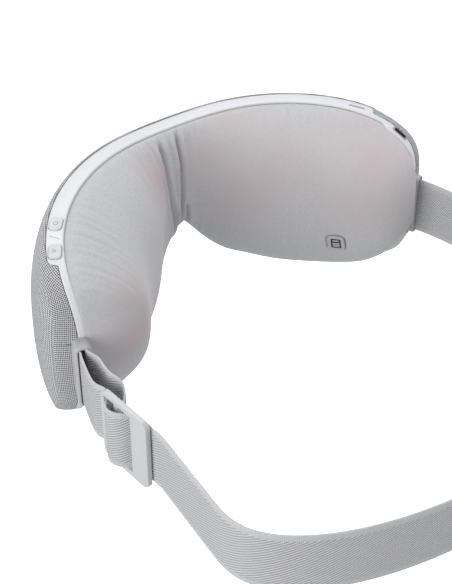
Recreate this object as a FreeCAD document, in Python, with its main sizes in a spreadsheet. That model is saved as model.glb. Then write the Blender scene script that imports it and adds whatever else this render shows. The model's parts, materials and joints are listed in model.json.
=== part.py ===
import FreeCAD, Part
import math
import os
import Sketcher
from FreeCAD import Placement, Rotation, Vector

# Eye massager mask: two padded halves joined by a folding nose bridge, with a head strap.
# Frame: +Z up, the wearer's face towards +Y, the wearer's left towards +X. The origin is on
# the seam between frame and pad, above the nose, about half way up the mask.
# The halves wrap round a vertical axis that stands wrap_radius behind the origin, so most
# places are given by the arc length from the nose, the radius from that axis and the height.

DIMENSIONS = [
    ("wrap_radius", 109.0), ("half_arc", 128.0), ("end_height", 5.4),
    ("top_rise", 42.6), ("bottom_drop", 60.0), ("nose_notch", 47.4), ("notch_width", 26.4),
    ("bridge_dip", 1.8), ("dip_width", 30.0), ("top_lean", 0.005), ("bottom_lean", 0.003),
    ("left_corner_drop", 13.0), ("right_corner_drop", 0.0),
    ("pad_bulge", 29.4), ("pad_growth", 13.4), ("valley_depth", 0.77), ("valley_width", 30.8),
    ("rim_depth", 8.2), ("rim_narrow", 3.7), ("rim_wall", 2.2), ("dome_depth", 8.5), ("front_lip", 2.4),
    ("left_wide_end", 112.0), ("right_wide_end", 102.0),
    ("mesh_wall", 1.0), ("shell_wall", 1.8), ("cover_wall", 1.2), ("skin_gap", 0.2),
    ("bridge_half", 14.0), ("strip_gap", 0.2),
    ("plate_wall", 1.8), ("plate_gap", 0.3), ("foam_back", 5.2),
    ("bladder_wall", 2.8), ("bladder_back", 1.4), ("film_wall", 0.4), ("bladder_inset", 19.0),
    ("hinge_back", 12.0), ("pin_radius", 1.5), ("pin_gap", 0.06), ("barrel_radius", 3.4),
    ("leaf_length", 24.0), ("leaf_wall", 1.6), ("knuckle", 11.6), ("knuckle_gap", 0.4),
    ("hinge_centre", 20.0),
    ("strap_width", 32.0), ("strap_wall", 1.6), ("left_anchor_height", -9.0),
    ("right_anchor_height", -4.0), ("left_anchor_sink", 0.8), ("right_anchor_sink", 5.0), ("slot_width", 5.0),
    ("collar_wall", 2.4), ("collar_length", 8.6), ("anchor_radius", 111.8),
    ("anchor_pin", 0.6), ("run_height", -5.5),
    ("slider_length", 31.4), ("slider_height", 38.6), ("slider_wall", 2.6),
    ("slider_front_bar", 2.4), ("slider_rear_bar", 11.0), ("slider_side_bar", 2.9),
    ("slider_middle_bar", 3.0), ("slider_middle_at", 5.0), ("slider_x", 114.45),
    ("slider_y", 119.9), ("slider_turn", 4.2), ("slider_round", 4.0),
    ("strap_reach", 115.2), ("strap_curve_y", 192.0), ("strap_curve_depth", 50.0),
    ("button_length", 8.0), ("button_width", 6.0), ("button_proud", 0.8), ("button_gap", 0.2),
    ("button_flange", 0.8), ("button_travel", 0.7), ("upper_button", 91.0),
    ("lower_button", 106.0), ("button_radial", 4.1), ("switch_size", 4.0), ("switch_height", 2.0),
    ("board_wall", 1.0), ("board_length", 34.0), ("board_height", 52.0), ("board_arc", 77.0),
    ("chip_size", 9.0), ("chip_height", 1.2), ("button_board_length", 26.0),
    ("battery_length", 34.0), ("battery_height", 50.0), ("battery_depth", 6.6),
    ("battery_arc", 57.0),
    ("motor_radius", 4.0), ("motor_length", 14.0), ("motor_arc", 101.0), ("motor_low", -26.0),
    ("shaft_radius", 0.75), ("weight_radius", 3.5), ("weight_length", 4.0), ("radial_seat", 7.2),
    ("pump_radius", 5.2), ("pump_motor_length", 17.0), ("pump_head_length", 13.0),
    ("pump_arc", 38.0), ("pump_low", -22.0), ("rotor_radius", 3.2),
    ("valve_length", 9.0), ("valve_depth", 8.4), ("valve_height", 14.0), ("valve_arc", 53.0),
    ("valve_low", 12.0), ("valve_bore", 1.6), ("valve_travel", 1.2), ("plunger_length", 10.0),
    ("hose_radius", 1.8), ("hose_hole", 0.9), ("hose_lane", 127.4), ("hose_height", 20.0),
    ("ribbon_wall", 0.4), ("ribbon_width", 9.0), ("ribbon_lane", 125.2), ("ribbon_height", 27.0),
    ("screw_radius", 1.1), ("screw_head", 2.1), ("screw_length", 8.0), ("boss_radius", 2.6),
    ("usb_arc", 117.0), ("usb_length", 9.0), ("usb_depth", 3.2), ("usb_tall", 7.4),
    ("usb_shell", 0.3), ("usb_radial", 1.4), ("usb_boss_length", 13.0), ("usb_boss_depth", 6.8),
    ("charge_board_length", 15.0), ("charge_board_height", 12.0),
    ("light_arc", 94.0), ("light_length", 8.6), ("light_width", 1.4), ("light_tall", 2.8),
    ("sensor_arc", 91.5), ("sensor_share", -0.29), ("sensor_size", 9.6), ("sensor_window", 5.6),
    ("sensor_wall", 1.2),
]
TOP_SIDE, TOP_ROOT = 3.8, 3.7          # squareness of the outline's upper half
LOW_SIDE, LOW_ROOT = 3.5, 4.2          # squareness of its lower half
NOTCH_POWER = 1.35
PAD_SIDE, PAD_ROOT, PAD_END = 3.0, 1.29, 10.0
DOME_SIDE, DOME_ROOT, DOME_END = 2.44, 1.35, 4.5
CORNER_START, CORNER_END = 12.0, 60.0
SECTION_POINTS = 11
LOFT_STATIONS = 15
NOSE_ANGLE, END_ANGLE = -60.0, 86.0      # spread of the loft stations, as sines

doc = FreeCAD.newDocument("eye_massager_mask")
dims = doc.addObject("Spreadsheet::Sheet", "dims")
for row, (alias, value) in enumerate(DIMENSIONS, start=1):
    dims.set("A%d" % row, alias)
    dims.set("B%d" % row, str(value))
    dims.setAlias("B%d" % row, alias)
doc.recompute()
size = {alias: float(dims.get(alias)) for alias, _ in DIMENSIONS}
subparts = []
corner_drop = [0.0]                     # how much lower the frame of the current half reaches


# ---- outline and cross-sections -------------------------------------------------------------

def around(arc, radius, height):
    """A point given by arc length from the nose, radius from the wrap axis and height."""
    turn = arc / size["wrap_radius"]
    back = size["wrap_radius"] - radius * math.cos(turn)
    return Vector(radius * math.sin(turn), back, height)


def rounded(share, side):
    """The superellipse's other coordinate, before its root is taken."""
    return math.sqrt(max(0.0, 1.0 - min(abs(share), 1.0) ** side))


def top_height(arc, shrink=0.0):
    share = arc / (size["half_arc"] - shrink)
    dip = size["bridge_dip"] * math.exp(-(arc / size["dip_width"]) ** 2)
    rise = size["top_rise"] * rounded(share, TOP_SIDE) ** (2.0 / TOP_ROOT)
    return size["end_height"] + rise - dip - shrink * rounded(share, 2.0)


def bottom_height(arc, shrink=0.0):
    share = arc / (size["half_arc"] - shrink)
    drop = size["bottom_drop"] * rounded(share, LOW_SIDE) ** (2.0 / LOW_ROOT)
    notch = size["nose_notch"] * math.exp(-(abs(arc) / size["notch_width"]) ** NOTCH_POWER)
    return size["end_height"] - drop + notch + shrink * rounded(share, 2.0)


def frame_bottom(arc, shrink=0.0):
    """The left frame and front reach lower than the pad does near the temple."""
    share = min(abs(arc) / (size["half_arc"] - shrink), 1.0)
    corner = share ** CORNER_START * math.sqrt(1.0 - share ** CORNER_END)
    return bottom_height(arc, shrink) - corner_drop[-1] * corner


def seam_radius(arc, share):
    """Radius of the seam between frame and pad; share runs from -1 at the bottom to 1."""
    upper = size["top_lean"] * (top_height(arc) - size["end_height"]) ** 2
    lower = size["bottom_lean"] * (bottom_height(arc) - size["end_height"]) ** 2
    return size["wrap_radius"] + upper * (1.0 + share) / 2.0 + lower * (1.0 - share) / 2.0


def seam_at(arc, height):
    low, high = bottom_height(arc), top_height(arc)
    return seam_radius(arc, (2 * height - high - low) / (high - low))


def pad_depth(arc):
    share = min(abs(arc) / size["half_arc"], 1.0)
    valley = 1.0 - size["valley_depth"] * math.exp(-(arc / size["valley_width"]) ** 2)
    full = size["pad_bulge"] + size["pad_growth"] * share
    return full * valley * math.sqrt(1.0 - share ** PAD_END)


def dome_depth(arc):
    share = min(abs(arc) / size["half_arc"], 1.0)
    return size["dome_depth"] * math.sqrt(1.0 - share ** DOME_END)


def shares():
    steps = SECTION_POINTS - 1
    return [math.sin(math.pi * (step / steps - 0.5)) for step in range(SECTION_POINTS)]


def crown(arc, low, high, radius_of):
    """Points of one curved side of a section, from the bottom up."""
    middle, half = (high + low) / 2.0, (high - low) / 2.0
    return [(radius_of(share), middle + half * share) for share in shares()]


def closed_section(side, back_low, back_high):
    """A crowned side closed by a straight back, as four strokes."""
    low, high = side[0][1], side[-1][1]
    back = [(back_high, high), (back_low, low)]
    return [side, [side[-1], back[0]], back, [back[1], side[0]]]


def front_section(arc, shrink, back):
    """Section of the front dome, drawn in by shrink, its flat back at depth back."""
    def radius_of(share):
        bulge = (1.0 - abs(share) ** DOME_SIDE) ** (1.0 / DOME_ROOT)
        depth = size["rim_depth"] + dome_depth(arc) * bulge
        return seam_radius(arc, share) + size["front_lip"] + depth - shrink
    side = crown(arc, frame_bottom(arc, shrink), top_height(arc, shrink), radius_of)
    return closed_section(side, seam_radius(arc, -1) + back, seam_radius(arc, 1) + back)


def pad_section(arc, shrink, back):
    """Section of the padded side, drawn in by shrink, its flat back at depth back."""
    def radius_of(share):
        bulge = (1.0 - abs(share) ** PAD_SIDE) ** (1.0 / PAD_ROOT)
        return seam_radius(arc, share) - 0.6 - pad_depth(arc) * bulge + shrink
    side = crown(arc, bottom_height(arc, shrink), top_height(arc, shrink), radius_of)
    return closed_section(side, seam_radius(arc, -1) - back, seam_radius(arc, 1) - back)


def slab_section(arc, shrink, near, far, bottom=frame_bottom):
    """A flat band of the section between two depths, drawn in by shrink."""
    low, high = bottom(arc, shrink), top_height(arc, shrink)
    base_low, base_high = seam_at(arc, low), seam_at(arc, high)
    corners = [(base_low + near, low), (base_high + near, high),
               (base_high + far, high), (base_low + far, low)]
    return [[corners[i], corners[(i + 1) % 4]] for i in range(4)]


def stroke_edge(arc, stroke):
    points = [around(arc, radius, height) for radius, height in stroke]
    if len(points) == 2:
        return Part.makeLine(points[0], points[1])
    curve = Part.BSplineCurve()
    curve.interpolate(points)
    return curve.toShape()


def stations(first, last):
    """Arc lengths that crowd together near the nose and towards the rounded temple end."""
    low, high = math.radians(NOSE_ANGLE), math.radians(END_ANGLE)
    step = (high - low) / (LOFT_STATIONS - 1)
    spread = math.sin(high) - math.sin(low)
    shares_along = [(math.sin(low + step * i) - math.sin(low)) / spread
                    for i in range(LOFT_STATIONS)]
    return [first + (last - first) * share for share in shares_along]


def even_stations(first, last, count=5):
    return [first + (last - first) * i / (count - 1) for i in range(count)]


def loft(arcs, section_of):
    wires = []
    for arc in arcs:
        wires.append(Part.Wire([stroke_edge(arc, stroke) for stroke in section_of(arc)]))
    return Part.makeLoft(wires, True, False)


def end_arc(shrink):
    return (size["half_arc"] - shrink) * math.sin(math.radians(END_ANGLE))


# ---- placements and plain solids ------------------------------------------------------------

def station(arc, radius, height, tilt=0.0):
    """Local X along the arc, local Y towards the face, local Z up, tilted by tilt degrees."""
    turn = Rotation(Vector(0, 0, 1), math.degrees(arc / size["wrap_radius"]))
    lean = Rotation(Vector(0, 1, 0), tilt)
    return Placement(around(arc, radius, height), turn.multiply(lean))


def edge_station(arc, radial):
    """On top of the rim at an arc length, local Z square to the rim."""
    step = 0.5
    slope = (top_height(abs(arc) + step) - top_height(abs(arc) - step)) / (2 * step)
    tilt = math.degrees(math.atan(-slope)) * (1 if arc > 0 else -1)
    return station(arc, seam_radius(arc, 1) + radial, top_height(arc), tilt)


def slab(length, depth, height, centre=(0, 0, 0)):
    """A box shape round a centre point."""
    corner = Vector(centre[0] - length / 2, centre[1] - depth / 2, centre[2] - height / 2)
    return Part.makeBox(length, depth, height, corner)


def placed(shape, placement):
    moved = shape.copy()
    moved.Placement = placement.multiply(moved.Placement)
    return moved


def mirrored(shape):
    return shape.mirror(Vector(0, 0, 0), Vector(1, 0, 0))


def on_side(shape, side):
    return shape if side > 0 else mirrored(shape)


# ---- document helpers -----------------------------------------------------------------------

def keep(obj, label, placement=None):
    """Name a finished sub-part and put it in its place."""
    obj.Label = label
    if placement is not None:
        obj.Placement = placement
    subparts.append(obj)
    return obj


def freeform(label, shape):
    """A lofted piece that neither sketches nor primitives describe."""
    feature = doc.addObject("Part::Feature", label)
    feature.Shape = shape
    return keep(feature, label)


def bind(obj, **expressions):
    for prop, expression in expressions.items():
        obj.setExpression(prop.replace("__", "."), expression)
    return obj


def box(name, length, depth, height, centre=("0", "0", "0")):
    """A Part::Box whose sizes and centre are expressions in the sheet."""
    made = doc.addObject("Part::Box", name)
    bind(made, Length=length, Width=depth, Height=height)
    bind(made, Placement__Base__x="(%s) - (%s) / 2" % (centre[0], length),
         Placement__Base__y="(%s) - (%s) / 2" % (centre[1], depth),
         Placement__Base__z="(%s) - (%s) / 2" % (centre[2], height))
    return made


def rod(name, radius, length, base=("0", "0", "0")):
    """A Part::Cylinder along Z that stands on its base point."""
    made = doc.addObject("Part::Cylinder", name)
    bind(made, Radius=radius, Height=length, Placement__Base__x=base[0],
         Placement__Base__y=base[1], Placement__Base__z=base[2])
    return made


def fuse(name, pieces):
    made = doc.addObject("Part::MultiFuse", name)
    made.Shapes = pieces
    return made


def cut(name, base, tool):
    made = doc.addObject("Part::Cut", name)
    made.Base = base
    made.Tool = tool
    return made


def new_body(label):
    body = doc.addObject("PartDesign::Body", label)
    return body


def plane_of(body, role):
    return [item for item in body.Origin.OriginFeatures if item.Role == role][0]


def rectangle(body, name, role, left, low, width, height):
    """A sketch rectangle held by four named sizes, each an expression in the sheet."""
    sketch = body.newObject("Sketcher::SketchObject", name)
    sketch.AttachmentSupport = (plane_of(body, role), [""])
    sketch.MapMode = "FlatFace"
    corners = [Vector(0, 0, 0), Vector(4, 0, 0), Vector(4, 3, 0), Vector(0, 3, 0)]
    for i in range(4):
        sketch.addGeometry(Part.LineSegment(corners[i], corners[(i + 1) % 4]), False)
    for i in range(4):
        sketch.addConstraint(Sketcher.Constraint("Coincident", i, 2, (i + 1) % 4, 1))
    for i, kind in enumerate(("Horizontal", "Vertical", "Horizontal", "Vertical")):
        sketch.addConstraint(Sketcher.Constraint(kind, i))
    sizes = (("DistanceX", (-1, 1, 0, 1), left), ("DistanceY", (-1, 1, 0, 1), low),
             ("DistanceX", (0, 1, 0, 2), width), ("DistanceY", (1, 1, 1, 2), height))
    for index, (kind, ends, expression) in enumerate(sizes):
        number = sketch.addConstraint(Sketcher.Constraint(kind, *ends, 1.0))
        sketch.renameConstraint(number, "size%d" % index)
        sketch.setExpression("Constraints.size%d" % index, expression)
    return sketch


def circle(body, name, role, radius, centre=("0", "0")):
    sketch = body.newObject("Sketcher::SketchObject", name)
    sketch.AttachmentSupport = (plane_of(body, role), [""])
    sketch.MapMode = "FlatFace"
    sketch.addGeometry(Part.Circle(Vector(1, 1, 0), Vector(0, 0, 1), 2.0), False)
    sizes = (("Radius", (0,), radius), ("DistanceX", (-1, 1, 0, 3), centre[0]),
             ("DistanceY", (-1, 1, 0, 3), centre[1]))
    for index, (kind, ends, expression) in enumerate(sizes):
        number = sketch.addConstraint(Sketcher.Constraint(kind, *ends, 1.0))
        sketch.renameConstraint(number, "size%d" % index)
        sketch.setExpression("Constraints.size%d" % index, expression)
    return sketch


def pad(body, sketch, length, both=True):
    feature = body.newObject("PartDesign::Pad", sketch.Name + "_pad")
    feature.Profile = sketch
    feature.Midplane = both
    feature.setExpression("Length", length)
    sketch.Visibility = False
    doc.recompute()
    return feature


def pocket(body, sketch):
    """A cut right through the body, checked by its volume."""
    before = body.Shape.Volume
    feature = body.newObject("PartDesign::Pocket", sketch.Name + "_pocket")
    feature.Profile = sketch
    feature.Type = 1
    feature.Midplane = True
    doc.recompute()
    if body.Shape.Volume > before - 1e-6:
        raise ValueError(sketch.Name + " cuts nothing")
    return feature


def fillet(body, radius, direction):
    """Round every straight edge that runs along a direction."""
    tip = body.Tip
    names = []
    for number, edge in enumerate(tip.Shape.Edges, start=1):
        ends = edge.Vertexes
        if len(ends) != 2:
            continue
        along = ends[1].Point.sub(ends[0].Point)
        if along.Length > 0 and abs(along.normalize().dot(direction)) > 0.999:
            names.append("Edge%d" % number)
    feature = body.newObject("PartDesign::Fillet", body.Name + "_fillet")
    feature.Base = (tip, names)
    feature.setExpression("Radius", radius)
    doc.recompute()
    return feature


# ---- soft and hard skins of one half --------------------------------------------------------

START = size["bridge_half"] + size["strip_gap"]
MOUTH = 3.0                             # how far a hollowing cut runs past an open side


def hollow(outer, section_of, first, shrink):
    """Cut the inside of a skin out, leaving a wall of one shrink at the temple end."""
    inner = loft(stations(first, end_arc(shrink)), section_of)
    return outer.cut(inner)


def front_skin(outer_shrink, wall, wide_end):
    """Mesh cover or front shell: deep behind the wide rim, deeper behind the narrow one."""
    inner_shrink = outer_shrink + wall
    wide = size["rim_depth"] + size["skin_gap"]
    narrow = size["rim_narrow"] + size["skin_gap"]
    arcs = stations(START, end_arc(outer_shrink))
    near = loft([a for a in arcs if a < wide_end - 2] + [wide_end],
                lambda arc: front_section(arc, outer_shrink, wide))
    far = loft([wide_end] + [a for a in arcs if a > wide_end + 2],
               lambda arc: front_section(arc, outer_shrink, narrow))
    outer = near.fuse(far).removeSplitter()
    return hollow(outer, lambda arc: front_section(arc, inner_shrink, -MOUTH),
                  START - MOUTH, inner_shrink)


def rim_ring(wide_end):
    """The frame: a ring with a closed temple end, wide up to wide_end and narrow beyond."""
    arcs = stations(START, end_arc(0))
    wall = size["rim_wall"]
    near = loft([a for a in arcs if a < wide_end - 2] + [wide_end],
                lambda arc: slab_section(arc, 0, 0, size["rim_depth"]))
    far = loft([wide_end] + [a for a in arcs if a > wide_end + 2],
               lambda arc: slab_section(arc, 0, 0, size["rim_narrow"]))
    inner = loft(stations(START - MOUTH, end_arc(wall)),
                 lambda arc: slab_section(arc, wall, -MOUTH, size["rim_depth"] + MOUTH))
    return near.fuse(far).cut(inner)


def anchor(name, beyond, offset=0.0):
    """A place in a strap socket, beyond its front face and offset from its middle."""
    arc = end_arc(0) - size[name + "_anchor_sink"] + beyond
    return station(arc, size["anchor_radius"] + offset, size[name + "_anchor_height"])


def collar(name):
    """The strap socket at the temple end, open towards the back of the head."""
    length, wall = size["collar_length"], size["collar_wall"]
    place = anchor(name, length / 2)
    outer = slab(length, size["slot_width"] + 2 * wall, size["strap_width"] + 1 + 2 * wall)
    outer = outer.makeFillet(2.0, [e for e in outer.Edges if abs(e.tangentAt(0).x) > 0.99])
    slot = slab(length, size["slot_width"], size["strap_width"] + 1, (wall / 2, 0, 0))
    slot = slot.makeFillet(1.5, [e for e in slot.Edges if abs(e.tangentAt(0).x) > 0.99])
    return placed(outer.cut(slot), place).cut(anchor_pin(name, size["pin_gap"]))


def collar_room(name, grow=0.0):
    """The whole block of a strap socket, so that its neighbours make room for it."""
    length, wall = size["collar_length"] + 2 * grow, size["collar_wall"] + grow
    block = slab(length, size["slot_width"] + 2 * wall, size["strap_width"] + 1 + 2 * wall)
    return placed(block, anchor(name, size["collar_length"] / 2))


def anchor_pin(name, grow=0.0):
    length = size["strap_width"] + 1 + size["collar_wall"] + 2 * grow
    pin = Part.makeCylinder(size["anchor_pin"] + grow, length, Vector(0, 0, -length / 2))
    return placed(pin, anchor(name, 4.4))


def screw_places():
    """Arc length and height of the three screws of one half."""
    return [(28.0, 36.0), (64.0, -37.0), (113.0, 2.0)]


def facing(arc, radius, height):
    """Local Z points forward, away from the face."""
    turn = math.degrees(arc / size["wrap_radius"])
    outward = Rotation(Vector(0, 0, 1), turn).multiply(Rotation(Vector(1, 0, 0), 90))
    return Placement(around(arc, radius, height), outward)


def along_screw(arc, height, depth, radius, length):
    """A cylinder on a screw's axis, from a depth in front of the seam."""
    shape = Part.makeCylinder(radius, length)
    return placed(shape, facing(arc, seam_at(arc, height) + depth, height))


def front_shell(wide_end):
    wall = size["mesh_wall"] + size["skin_gap"]
    shell = front_skin(wall, size["shell_wall"], wide_end)
    plate_face = size["plate_gap"] + size["plate_wall"] + 3 * size["skin_gap"]
    for arc, height in screw_places():
        boss = along_screw(arc, height, plate_face, size["boss_radius"], 10.2)
        shell = shell.fuse(boss)
    for arc, height in screw_places():
        shell = shell.cut(along_screw(arc, height, plate_face, size["screw_radius"] + 0.1, 8.0))
    return shell


def back_plate():
    inset = size["rim_wall"] + 2 * size["skin_gap"]
    near, far = size["plate_gap"], size["plate_gap"] + size["plate_wall"]
    plate = loft(stations(START + 2, end_arc(inset)),
                 lambda arc: slab_section(arc, inset, near, far))
    for arc, height in screw_places():
        plate = plate.cut(along_screw(arc, height, -2, size["screw_radius"] + 0.2, 8.0))
    return plate.cut(along_screw(*NIPPLE, -4, 2.4, 12.0))


NIPPLE = (31.0, 4.0)                    # arc length and height of the bladder's air nipple
LAYER_START = 22.0


def air_bladder():
    inset, near = size["bladder_inset"], -size["bladder_back"] - size["bladder_wall"]
    bag = loft(stations(LAYER_START, end_arc(inset)),
               lambda arc: slab_section(arc, inset, near, -size["bladder_back"], bottom_height))
    nipple = along_screw(*NIPPLE, -size["bladder_back"] - 1, 2.0, 6.0)
    return bag.fuse(nipple)


def heater_film():
    inset = size["bladder_inset"] + 2
    far = -size["bladder_back"] - size["bladder_wall"] - 0.1
    return loft(stations(LAYER_START + 1, end_arc(inset)),
                lambda arc: slab_section(arc, inset, far - size["film_wall"], far, bottom_height))


def pad_cover():
    wall = size["cover_wall"]
    outer = loft(stations(START, end_arc(0)), lambda arc: pad_section(arc, 0, 0.1))
    return hollow(outer, lambda arc: pad_section(arc, wall, -MOUTH), START - MOUTH, wall)


def foam_pad():
    """The foam under the cover, cut flat where the heater film lies on it."""
    shrink = size["cover_wall"] + 0.1
    full = loft(stations(START, end_arc(shrink)), lambda arc: pad_section(arc, shrink, -MOUTH))
    room = loft(stations(START - MOUTH, end_arc(-MOUTH)),
                lambda arc: slab_section(arc, -MOUTH, -size["foam_back"], 2 * MOUTH))
    return full.cut(room)


def bridge_arcs():
    reach = size["bridge_half"] - size["strip_gap"] / 2
    return even_stations(-reach, reach, 7)


def bridge_skin(section_of, inner_section_of):
    outer = loft(bridge_arcs(), section_of)
    reach = size["bridge_half"] + MOUTH
    inner = loft(even_stations(-reach, reach, 9), inner_section_of)
    return outer.cut(inner)


# ---- the two halves -------------------------------------------------------------------------

def rim_opening(arc, radial, length, depth):
    """A cutter through the rim's top wall."""
    return placed(slab(length, depth, 14.0), edge_station(arc, radial))


usb_place = edge_station(-size["usb_arc"], size["usb_radial"])
BOSS_HEIGHT = 9.0
CONTROL_DEPTH = 12.0                    # room for a button and its switch below the rim


def usb_boss(grow):
    """The raised socket round the charging port, or its clearance when grown."""
    block = slab(size["usb_boss_length"] + 2 * grow, size["usb_boss_depth"] + 2 * grow,
                 BOSS_HEIGHT + 2 * grow, (0, 0, 0.5 - BOSS_HEIGHT / 2))
    block = block.makeFillet(2.0, [e for e in block.Edges if abs(e.tangentAt(0).z) > 0.99])
    return placed(block, usb_place)


def sensor_placement():
    """On the right pad, local Z out of the pad towards the wearer's temple."""
    arc, share = size["sensor_arc"], size["sensor_share"]

    def surface(arc, share):
        low, high = bottom_height(arc), top_height(arc)
        bulge = (1.0 - abs(share) ** PAD_SIDE) ** (1.0 / PAD_ROOT)
        radius = seam_radius(arc, share) - 0.6 - pad_depth(arc) * bulge
        return around(-arc, radius, (high + low) / 2 + (high - low) / 2 * share)
    centre = surface(arc, share)
    across = surface(arc - 1, share).sub(surface(arc + 1, share)).normalize()
    upward = surface(arc, share + 0.02).sub(surface(arc, share - 0.02)).normalize()
    normal = across.cross(upward).normalize().negative()
    if normal.y < 0:
        normal = normal.negative()
    return Placement(centre, Rotation(across, upward, normal, "ZYX"))


sensor_place = sensor_placement()


def side_pieces(side, name, wide_end):
    """The shells, layers and fasteners that both halves have."""
    corner_drop.append(size[name + "_corner_drop"])
    rim = rim_ring(wide_end).cut(collar_room(name)).fuse(collar(name))
    rim = on_side(rim, side)
    shell = on_side(front_shell(wide_end), side)
    mesh = on_side(front_skin(0.0, size["mesh_wall"], wide_end), side)
    plate = on_side(back_plate(), side)
    cover = on_side(pad_cover(), side)
    foam = on_side(foam_pad(), side).cut(cover)
    socket = on_side(collar_room(name, 0.1), side)
    mesh, shell, plate = mesh.cut(socket), shell.cut(mesh).cut(socket), plate.cut(socket)
    cover, foam = cover.cut(socket), foam.cut(socket)
    if side > 0:
        for arc in (size["upper_button"], size["lower_button"]):
            hole = rim_opening(arc, size["button_radial"],
                               size["button_length"] + 2 * size["button_gap"],
                               size["button_width"] + 2 * size["button_gap"])
            rim = rim.cut(hole)
            room = placed(slab(2 * size["button_length"], CONTROL_DEPTH, 2 * CONTROL_DEPTH),
                          edge_station(arc, size["button_radial"]))
            plate = plate.cut(room)
        plate = max(plate.Solids, key=lambda solid: solid.Volume)
    else:
        rim = rim.fuse(usb_boss(0.0))
        port = slab(size["usb_length"] + 0.2, size["usb_depth"] + 0.2, 24.0)
        rim = rim.cut(placed(port, usb_place))
        rim = rim.cut(rim_opening(-size["light_arc"], size["button_radial"],
                                  size["light_length"] + 0.2, size["light_width"] + 0.2))
        room = usb_boss(0.4)
        shell, mesh, plate = shell.cut(room), mesh.cut(room), plate.cut(room)
        recess = placed(slab(size["sensor_size"] + 0.4, size["sensor_size"] + 0.4, 12.0),
                        sensor_place)
        cover = cover.cut(room).cut(recess)
        foam = foam.cut(room).cut(recess)
    freeform(name + "_rim", rim)
    freeform(name + "_front_shell", shell)
    freeform(name + "_mesh_cover", mesh)
    freeform(name + "_back_plate", plate)
    freeform(name + "_pad_cover", cover)
    freeform(name + "_foam_pad", foam)
    freeform(name + "_air_bladder", on_side(air_bladder(), side))
    freeform(name + "_heater_film", on_side(heater_film(), side))
    freeform(name + "_strap_pin", on_side(anchor_pin(name), side))
    screws = [on_side(screw(arc, height), side) for arc, height in screw_places()]
    freeform(name + "_shell_screws", Part.makeCompound(screws))


def screw(arc, height):
    head = along_screw(arc, height, size["plate_gap"] - 1.7, size["screw_head"], 1.3)
    shank = along_screw(arc, height, size["plate_gap"] - 0.5, size["screw_radius"],
                        size["screw_length"])
    return head.fuse(shank)


def bridge_pieces():
    """The flexible strips that join the halves over the nose."""
    wall = size["mesh_wall"]
    freeform("bridge_mesh", bridge_skin(
        lambda arc: front_section(arc, 0.0, size["rim_depth"] + size["skin_gap"]),
        lambda arc: front_section(arc, wall, -MOUTH)))
    freeform("bridge_rim", bridge_skin(
        lambda arc: slab_section(arc, 0, 0, size["rim_depth"]),
        lambda arc: slab_section(arc, size["rim_wall"], -MOUTH, size["rim_depth"] + MOUTH)))
    freeform("bridge_pad", loft(bridge_arcs(), lambda arc: pad_section(arc, 0, 0.1)))


# ---- bridge hinge ---------------------------------------------------------------------------

def hinge_leaf(label, side):
    """A flat leaf with its knuckles: two on the left leaf, one between them on the right."""
    direction = "1" if side > 0 else "-1"
    reach = "(dims.leaf_length + dims.barrel_radius) / 2"
    tall = "3 * dims.knuckle"
    plate = box(label + "_plate", "dims.leaf_length - dims.barrel_radius", "dims.leaf_wall",
                tall, (direction + " * " + reach, "0", "0"))
    web = box(label + "_web", "dims.barrel_radius", "dims.leaf_wall",
              "dims.knuckle - dims.knuckle_gap",
              (direction + " * dims.barrel_radius", "0", "0"))
    levels = ("-1", "1") if side > 0 else ("0",)
    pieces = [plate]
    for number, level in enumerate(levels):
        low = "%s * dims.knuckle - dims.knuckle / 2 + dims.knuckle_gap / 2" % level
        pieces.append(rod("%s_knuckle_%d" % (label, number), "dims.barrel_radius",
                          "dims.knuckle - dims.knuckle_gap", ("0", "0", low)))
    if side > 0:
        webs = []
        for number, level in enumerate(levels):
            copy = box("%s_web_%d" % (label, number), "2 * dims.barrel_radius",
                       "dims.leaf_wall", "dims.knuckle - dims.knuckle_gap",
                       ("dims.barrel_radius", "0", "%s * dims.knuckle" % level))
            webs.append(copy)
        pieces += webs
        doc.removeObject(web.Name)
    else:
        bind(web, Length="2 * dims.barrel_radius",
             Placement__Base__x="-2 * dims.barrel_radius")
        pieces.append(web)
    solid = fuse(label + "_solid", pieces)
    bore = rod(label + "_bore", "dims.pin_radius + dims.pin_gap", "4 * dims.knuckle",
               ("0", "0", "-2 * dims.knuckle"))
    place = Placement(Vector(0, -size["hinge_back"], size["hinge_centre"]), Rotation())
    keep(cut(label, solid, bore), label, place)


def hinge_pin():
    body = new_body("hinge_pin")
    sketch = circle(body, "pin_profile", "XY_Plane", "dims.pin_radius")
    pad(body, sketch, "3 * dims.knuckle + 2")
    place = Placement(Vector(0, -size["hinge_back"], size["hinge_centre"]), Rotation())
    keep(body, "hinge_pin", place)


# ---- controls -------------------------------------------------------------------------------

def button(label, arc):
    """A cap with a retaining flange under the rim wall."""
    cap = box(label + "_cap", "dims.button_length", "dims.button_width",
              "dims.rim_wall + 1.2 + dims.button_proud",
              ("0", "0", "(dims.button_proud - dims.rim_wall - 1.2) / 2"))
    rounded_cap = doc.addObject("Part::Fillet", label + "_rounded")
    rounded_cap.Base = cap
    doc.recompute()
    upright = [(number, 1.6, 1.6) for number, edge in enumerate(cap.Shape.Edges, start=1)
               if abs(edge.tangentAt(0).z) > 0.99]
    rounded_cap.Edges = upright
    flange = box(label + "_flange", "dims.button_length + 1.6", "dims.button_width + 1.2",
                 "dims.button_flange", ("0", "0", "-dims.rim_wall - 0.8 - dims.button_flange / 2"))
    keep(fuse(label, [rounded_cap, flange]), label, edge_station(arc, size["button_radial"]))


def tact_switches():
    pieces = []
    for arc in (size["upper_button"], size["lower_button"]):
        top = -size["rim_wall"] - 0.8 - size["button_flange"] - size["button_travel"] - 0.3
        body_shape = slab(size["switch_size"], size["switch_size"], size["switch_height"],
                          (0, 0, top - size["switch_height"] / 2))
        pieces.append(placed(body_shape, edge_station(arc, size["button_radial"])))
    freeform("tact_switches", Part.makeCompound(pieces))


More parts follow.
